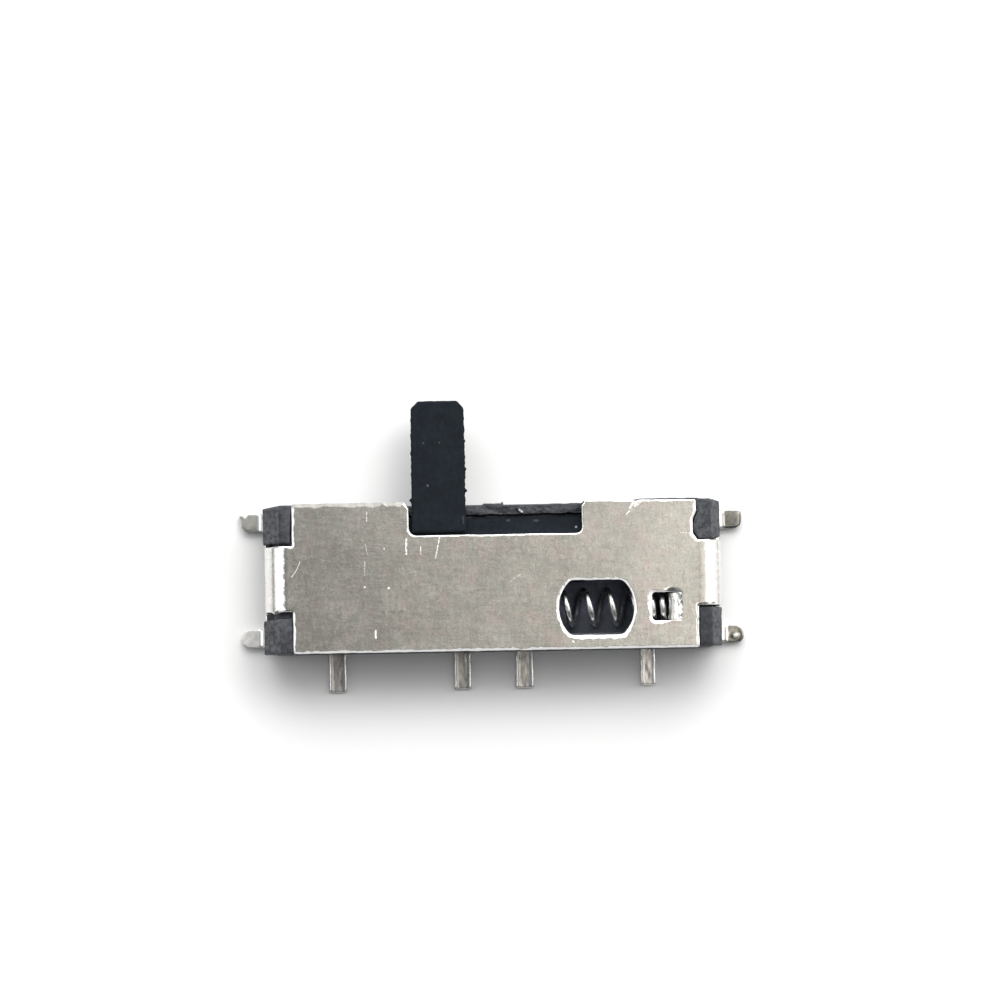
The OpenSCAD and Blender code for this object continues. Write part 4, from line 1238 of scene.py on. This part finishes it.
def base_parts(M, col, mid, grit):
    x, y, z = M.xyz(M.pos)
    ax, ay = M.math("ABSOLUTE", x), M.math("ABSOLUTE", y)
    # painted light: the sloped outer faces of the posts are made paler
    painted_lit_facet = M.math("MULTIPLY", M.between(z, 1.20, 1.30), M.math("MAXIMUM", M.between(x, -5.11, -5.07, 1.0, 0.0), M.between(x, 5.16, 5.20)))
    col = M.mix(painted_lit_facet, col, M.mix(M.between(mid, 0.36, 0.62), (0.042, 0.044, 0.049), (0.098, 0.102, 0.111)))
    # the right front post is blotched; the right rear one is darker on its flat top, as painted shade
    spot = M.math("MULTIPLY", M.math("MULTIPLY", M.between(x, 4.7, 4.8), M.between(y, 0.75, 0.80)), M.between(M.noise(M.pos, 5.0, 4.0, 0.7), 0.50, 0.60))
    col = M.mix(M.math("MULTIPLY", spot, 0.6), col, (0.100, 0.108, 0.104))
    rear = M.math("MULTIPLY", M.math("MULTIPLY", M.between(x, 4.7, 4.8), M.between(x, 5.14, 5.18, 1.0, 0.0)), M.between(y, -0.80, -0.75, 1.0, 0.0))
    col = M.mix(M.math("MULTIPLY", rear, 0.5), col, (0.022, 0.022, 0.026))
    # painted light: inside the chamber the moulding is made lighter and bluer
    painted_chamber_light = M.math("MULTIPLY", M.math("MULTIPLY", M.between(z, 0.44, 0.47), M.between(z, 1.20, 1.38, 1.0, 0.0)), M.math("MULTIPLY", M.between(ay, 1.42, 1.47, 1.0, 0.0), M.between(ax, 4.86, 4.93, 1.0, 0.0)))
    col = M.mix(painted_chamber_light, col, M.mix(M.between(mid, 0.35, 0.65), (0.140, 0.157, 0.208), (0.205, 0.227, 0.300)))
    # painted shade on the chamber floor towards its rear wall
    col = M.mix(M.math("MULTIPLY", painted_chamber_light, M.between(y, -1.05, -0.72, 0.90, 0.0)), col, (0.078, 0.088, 0.102))
    # the torn top of the low front wall, with its pale sliver
    sill = M.math("MULTIPLY", M.math("MULTIPLY", M.between(y, 1.44, 1.50), M.between(ax, 2.05, 2.15, 1.0, 0.0)), M.between(z, 0.95, 1.0, 1.0, 0.0))
    torn = M.math("MULTIPLY", M.between(M.noise(M.pos, 12.0, 4.0, 0.75), 0.44, 0.70), M.between(x, 1.30, 1.75, 1.0, 0.35))
    col = M.mix(M.math("MULTIPLY", sill, torn), col, (0.070, 0.072, 0.079))
    col = M.mix(M.math("MULTIPLY", sill, M.between(x, 1.30, 1.75, 0.0, 0.45)), col, (0.018, 0.021, 0.027))
    splinter = M.line((0.665, 1.612), (0.725, 1.565), 0.036)
    splinter = M.math("MULTIPLY", splinter, M.between(z, 0.60, 0.66))
    return M.mix(M.math("MULTIPLY", splinter, M.between(z, 0.95, 1.0, 1.0, 0.0)), col, (0.62, 0.62, 0.61))


def slider_parts(M, col, mid, grit):
    # rubbed specks and a few fine scratches of this one, and a painted highlight where the lever's right side meets the
    # bar
    marks = [((-1.628, 3.178), (-1.632, 3.182), 0.030, (0.055, 0.060, 0.067)), ((-1.246, 3.183), (-1.250, 3.187), 0.030, (0.055, 0.060, 0.067)), ((-1.535, 2.164), (-1.545, 2.170), 0.032, (0.13, 0.11, 0.16)),
             ((0.340, 1.320), (0.385, 1.318), 0.034, (0.060, 0.062, 0.075)), ((0.990, 1.305), (1.060, 1.300), 0.036, (0.062, 0.060, 0.078)), ((1.974, 1.132), (1.978, 1.136), 0.032, (0.40, 0.40, 0.40)),
             # painted highlight where the lever's right side meets the bar
             ((-0.710, 1.25), (-0.716, 1.42), 0.026, (0.034, 0.044, 0.052))]
    for a, b, w, c in marks:
        col = M.mix(M.math("MULTIPLY", M.line(a, b, w), 0.8), col, c)
    hair = M.between(M.noise(M.scaled(M.pos, (9.0, 0.6, 1.0)), 3.0, 2.0, 0.5, 0.4), 0.62, 0.72, 0.0, 0.20)
    return M.mix(hair, col, (0.020, 0.028, 0.035))


def wire_metal():
    M = Nodes("spring_wire")
    n = M.noise(M.pos, 14.0, 3.0)
    col = M.mix(M.between(n, 0.35, 0.65), (0.46, 0.46, 0.46), (0.64, 0.64, 0.635))
    # painted shade on its underside: the lower strands are darker and less metallic
    bright = M.between(M.xyz(M.pos)[2], 1.10, 1.34)
    M.link("Base Color", M.mix(bright, M.mix(M.between(n, 0.35, 0.65), (0.055, 0.058, 0.068), (0.095, 0.100, 0.112)), col))
    M.link("Metallic", M.between(M.xyz(M.pos)[2], 1.04, 1.22, 0.15, 1.0))
    M.link("Roughness", M.between(n, 0.3, 0.7, 0.26, 0.36))
    M.link("Normal", M.bump(M.noise(M.pos, 40.0, 2.0), 0.25, 0.000006))
    return M.mat


def silver(name="terminal_plating"):
    """Plated strip: drawn along its length, with dull streaks and a painted highlight along its edges."""
    M = Nodes(name)
    n = M.noise(M.scaled(M.pos, (9.0, 2.2, 8.0)), 2.2, 4.0, 0.6)
    blot = M.noise(M.pos, 7.0, 3.0, 0.6)
    tone = M.math("ADD", M.math("MULTIPLY", n, 0.6), M.math("MULTIPLY", blot, 0.4))
    col = M.mix(M.between(tone, 0.36, 0.64), (0.57, 0.555, 0.54), (0.78, 0.77, 0.755))
    # the two left ones are duller
    worn = M.between(M.xyz(M.pos)[0], -0.6, 3.4, 0.52, 0.92, smooth=False)
    col = M.mix(worn, (0, 0, 0), col)
    # painted highlight along the strip's rolled edges, from the mesh
    painted_highlight = M.nt.nodes.new("ShaderNodeAttribute")
    painted_highlight.attribute_name = "painted_highlight"
    painted_highlight = M.math("MULTIPLY", painted_highlight.outputs["Fac"], M.between(M.noise(M.pos, 8.0, 3.0, 0.6), 0.36, 0.50, 0.50, 1.0), clamp=True)
    col = M.mix(painted_highlight, col, (0.93, 0.925, 0.91))
    M.link("Base Color", col)
    M.link("Metallic", M.math("SUBTRACT", 1.0, M.math("MULTIPLY", painted_highlight, 0.3)))
    M.link("Roughness", M.math("SUBTRACT", M.between(tone, 0.3, 0.7, 0.24, 0.36), M.math("MULTIPLY", painted_highlight, 0.08)))
    M.link("Normal", M.bump(tone, 0.35, 0.00001))
    return M.mat


def bronze():
    M = Nodes("contact_bronze")
    M.bsdf.inputs["Metallic"].default_value = 1.0
    n = M.noise(M.scaled(M.pos, (1.5, 9.0, 9.0)), 5.0, 4.0, 0.6)
    M.link("Base Color", M.mix(M.between(n, 0.35, 0.65), (0.62, 0.40, 0.20), (0.76, 0.54, 0.30)))
    M.link("Roughness", M.between(n, 0.3, 0.7, 0.25, 0.4))
    M.link("Normal", M.bump(n, 0.3, 0.000008))
    return M.mat


# ================================================================ the pieces

m_nickel = nickel()
m_base = plastic("black_moulding", (0.0195, 0.0218, 0.0265), (0.0800, 0.0848, 0.0955), 0.55, part=base_parts)
m_slider = plastic("black_slider", (0.0040, 0.0065, 0.0105), (0.0085, 0.0130, 0.0185), 0.6, gloss=0.13, part=slider_parts)
m_wire = wire_metal()
m_pin = silver()
m_bronze = bronze()


def piece(ob, name, material, body, node):
    ob.name = name
    ob.data.name = name
    ob.data.materials.clear()
    ob.data.materials.append(material)
    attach(ob, body)
    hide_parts(node)
    return ob


piece(base(), "moulded_base", m_base, "housing", "base_housing")
piece(cover(), "folded_cover", m_nickel, "housing", "metal_cover")
piece(slider(), "slider_with_lever", m_slider, "slider", "slider_lever")
coil = piece(spring(), "coil_spring", m_wire, "housing", "return_spring")
for i in range(4):
    piece(terminal(i), f"pin_{i + 1}", m_pin, "housing", f"terminal_{i + 1}")
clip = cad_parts["contact_clip"]
for k in range(len(clip.material_slots)):
    clip.material_slots[k].material = m_bronze
# The coil is pressed from its left end, and keeps 2.04 of its 4.72 mm at the end of the travel.
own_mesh(coil)

# ================================================================ floor, light and camera

def floor():
    bm = bmesh.new()
    bmesh.ops.create_grid(bm, x_segments=8, y_segments=8, size=0.6)
    me = bpy.data.meshes.new("floor")
    bm.to_mesh(me)
    bm.free()
    ob = bpy.data.objects.new("floor", me)
    bpy.context.scene.collection.objects.link(ob)
    mat = bpy.data.materials.new("floor")
    mat.use_nodes = True
    b = mat.node_tree.nodes["Principled BSDF"]
    b.inputs["Base Color"].default_value = (0.80, 0.80, 0.80, 1)
    b.inputs["Roughness"].default_value = 0.9
    b.inputs["Specular IOR Level"].default_value = 0.0
    me.materials.append(mat)


floor()

scene = bpy.context.scene
scene.view_settings.view_transform = "Standard"
scene.view_settings.look = "None"
scene.view_settings.exposure = 0.0


def sky(base, lobes, hood):
    """A soft studio round the part. base is the light from everywhere, each lobe is (direction, angle it is full to, angle it ends at, red, green, blue), and hood
    (direction, inner, outer, what it lets through) is the dark patch overhead."""
    w = bpy.data.worlds.new("studio")
    scene.world = w
    w.use_nodes = True
    nt = w.node_tree
    bg = nt.nodes["Background"]
    co = nt.nodes.new("ShaderNodeTexCoord")

    def fall(direction, inner, outer, lo, hi):
        dot = nt.nodes.new("ShaderNodeVectorMath")
        dot.operation = "DOT_PRODUCT"
        nt.links.new(co.outputs["Generated"], dot.inputs[0])
        dot.inputs[1].default_value = Vector(direction).normalized()
        ac = nt.nodes.new("ShaderNodeMath")
        ac.operation = "ARCCOSINE"
        nt.links.new(dot.outputs["Value"], ac.inputs[0])
        mr = nt.nodes.new("ShaderNodeMapRange")
        mr.interpolation_type = "SMOOTHSTEP"
        nt.links.new(ac.outputs[0], mr.inputs["Value"])
        mr.inputs["From Min"].default_value = math.radians(inner)
        mr.inputs["From Max"].default_value = math.radians(outer)
        mr.inputs["To Min"].default_value = hi
        mr.inputs["To Max"].default_value = lo
        return mr.outputs["Result"]

    def vmath(op, a, b):
        n = nt.nodes.new("ShaderNodeVectorMath")
        n.operation = op
        for i, v in enumerate((a, b)):
            if hasattr(v, "is_output"):
                nt.links.new(v, n.inputs[i])
            else:
                n.inputs[i].default_value = v
        return n.outputs[0]

    total = tuple(base)
    for d, inner, outer, r, g, b in lobes:
        total = vmath("ADD", vmath("MULTIPLY", fall(d, inner, outer, 0, 1), (r, g, b)), total)
    for d, inner, outer, k in hood:
        total = vmath("MULTIPLY", total, fall(d, inner, outer, 1, k))
    nt.links.new(total, bg.inputs["Color"])
    bg.inputs["Strength"].default_value = 1.0
    # what stands behind the floor is plain and pale
    plain = nt.nodes.new("ShaderNodeBackground")
    plain.inputs["Color"].default_value = (1.0, 1.0, 1.0, 1)
    lp = nt.nodes.new("ShaderNodeLightPath")
    mx = nt.nodes.new("ShaderNodeMixShader")
    nt.links.new(lp.outputs["Is Camera Ray"], mx.inputs["Fac"])
    nt.links.new(bg.outputs[0], mx.inputs[1])
    nt.links.new(plain.outputs[0], mx.inputs[2])
    nt.links.new(mx.outputs[0], nt.nodes["World Output"].inputs["Surface"])


def at(elevation, azimuth):
    """Direction by elevation, and by azimuth from +Y towards +X."""
    e, a = math.radians(elevation), math.radians(azimuth)
    return (math.cos(e) * math.sin(a), math.cos(e) * math.cos(a), math.sin(e))


sky(
    (0.104, 0.109, 0.119),
    [
        (at(35, 0), 6, 42, 2.86, 2.83, 2.79),
        (at(35, 15), 4, 26, 1.60, 1.60, 1.60),
        (at(20, 15), 4, 26, 1.58, 1.58, 1.58),
        (at(50, -30), 4, 26, 4.14, 4.14, 4.14),
        (at(50, 30), 4, 26, 2.22, 2.22, 2.20),
        (at(50, 45), 4, 26, 4.54, 4.54, 4.50),
        (at(35, 75), 4, 26, 1.68, 1.68, 1.68),
        (at(12, 75), 4, 26, 3.33, 3.33, 3.33),
        (at(32, -78), 4, 28, 2.22, 2.17, 2.12),
        (at(6, -90), 4, 24, 0.32, 0.32, 0.31),
        (at(12, 180), 6, 24, 1.0, 1.0, 1.0),
        (at(15, 140), 6, 30, 0.30, 0.30, 0.30),
        (at(80.3, 90), 6, 18.2, 2.609, 2.431, 2.157),
        (at(70, -90), 4, 26, 0.330, 0.370, 0.420),
    ],
    [(at(89.8, -90), 0, 19, 0.0)],
)


cam_data = bpy.data.cameras.new("camera")
cam = bpy.data.objects.new("camera", cam_data)
scene.collection.objects.link(cam)
tilt_y, tilt_x, aim, roll, focal = 5.82742946e-02, 3.73714389e-02, (0.235147580, 1.89752848), -1.88321929e-02, 4556.20317
back = Vector((-math.sin(tilt_x), -math.sin(tilt_y), 0))
back.z = math.sqrt(1 - back.length_squared)
up = Vector((-math.sin(roll), math.cos(roll), 0))
right = up.cross(back).normalized()
up = back.cross(right)
cam.rotation_mode = "QUATERNION"
cam.rotation_quaternion = Matrix((right, up, back)).transposed().to_quaternion()
cam.location = (Vector((*aim, 0)) + back * 110.0) * MM
cam_data.sensor_width = 36.0
cam_data.lens = 36.0 * focal / 1000.0
cam_data.clip_start, cam_data.clip_end = 0.002, 5.0
scene.camera = cam
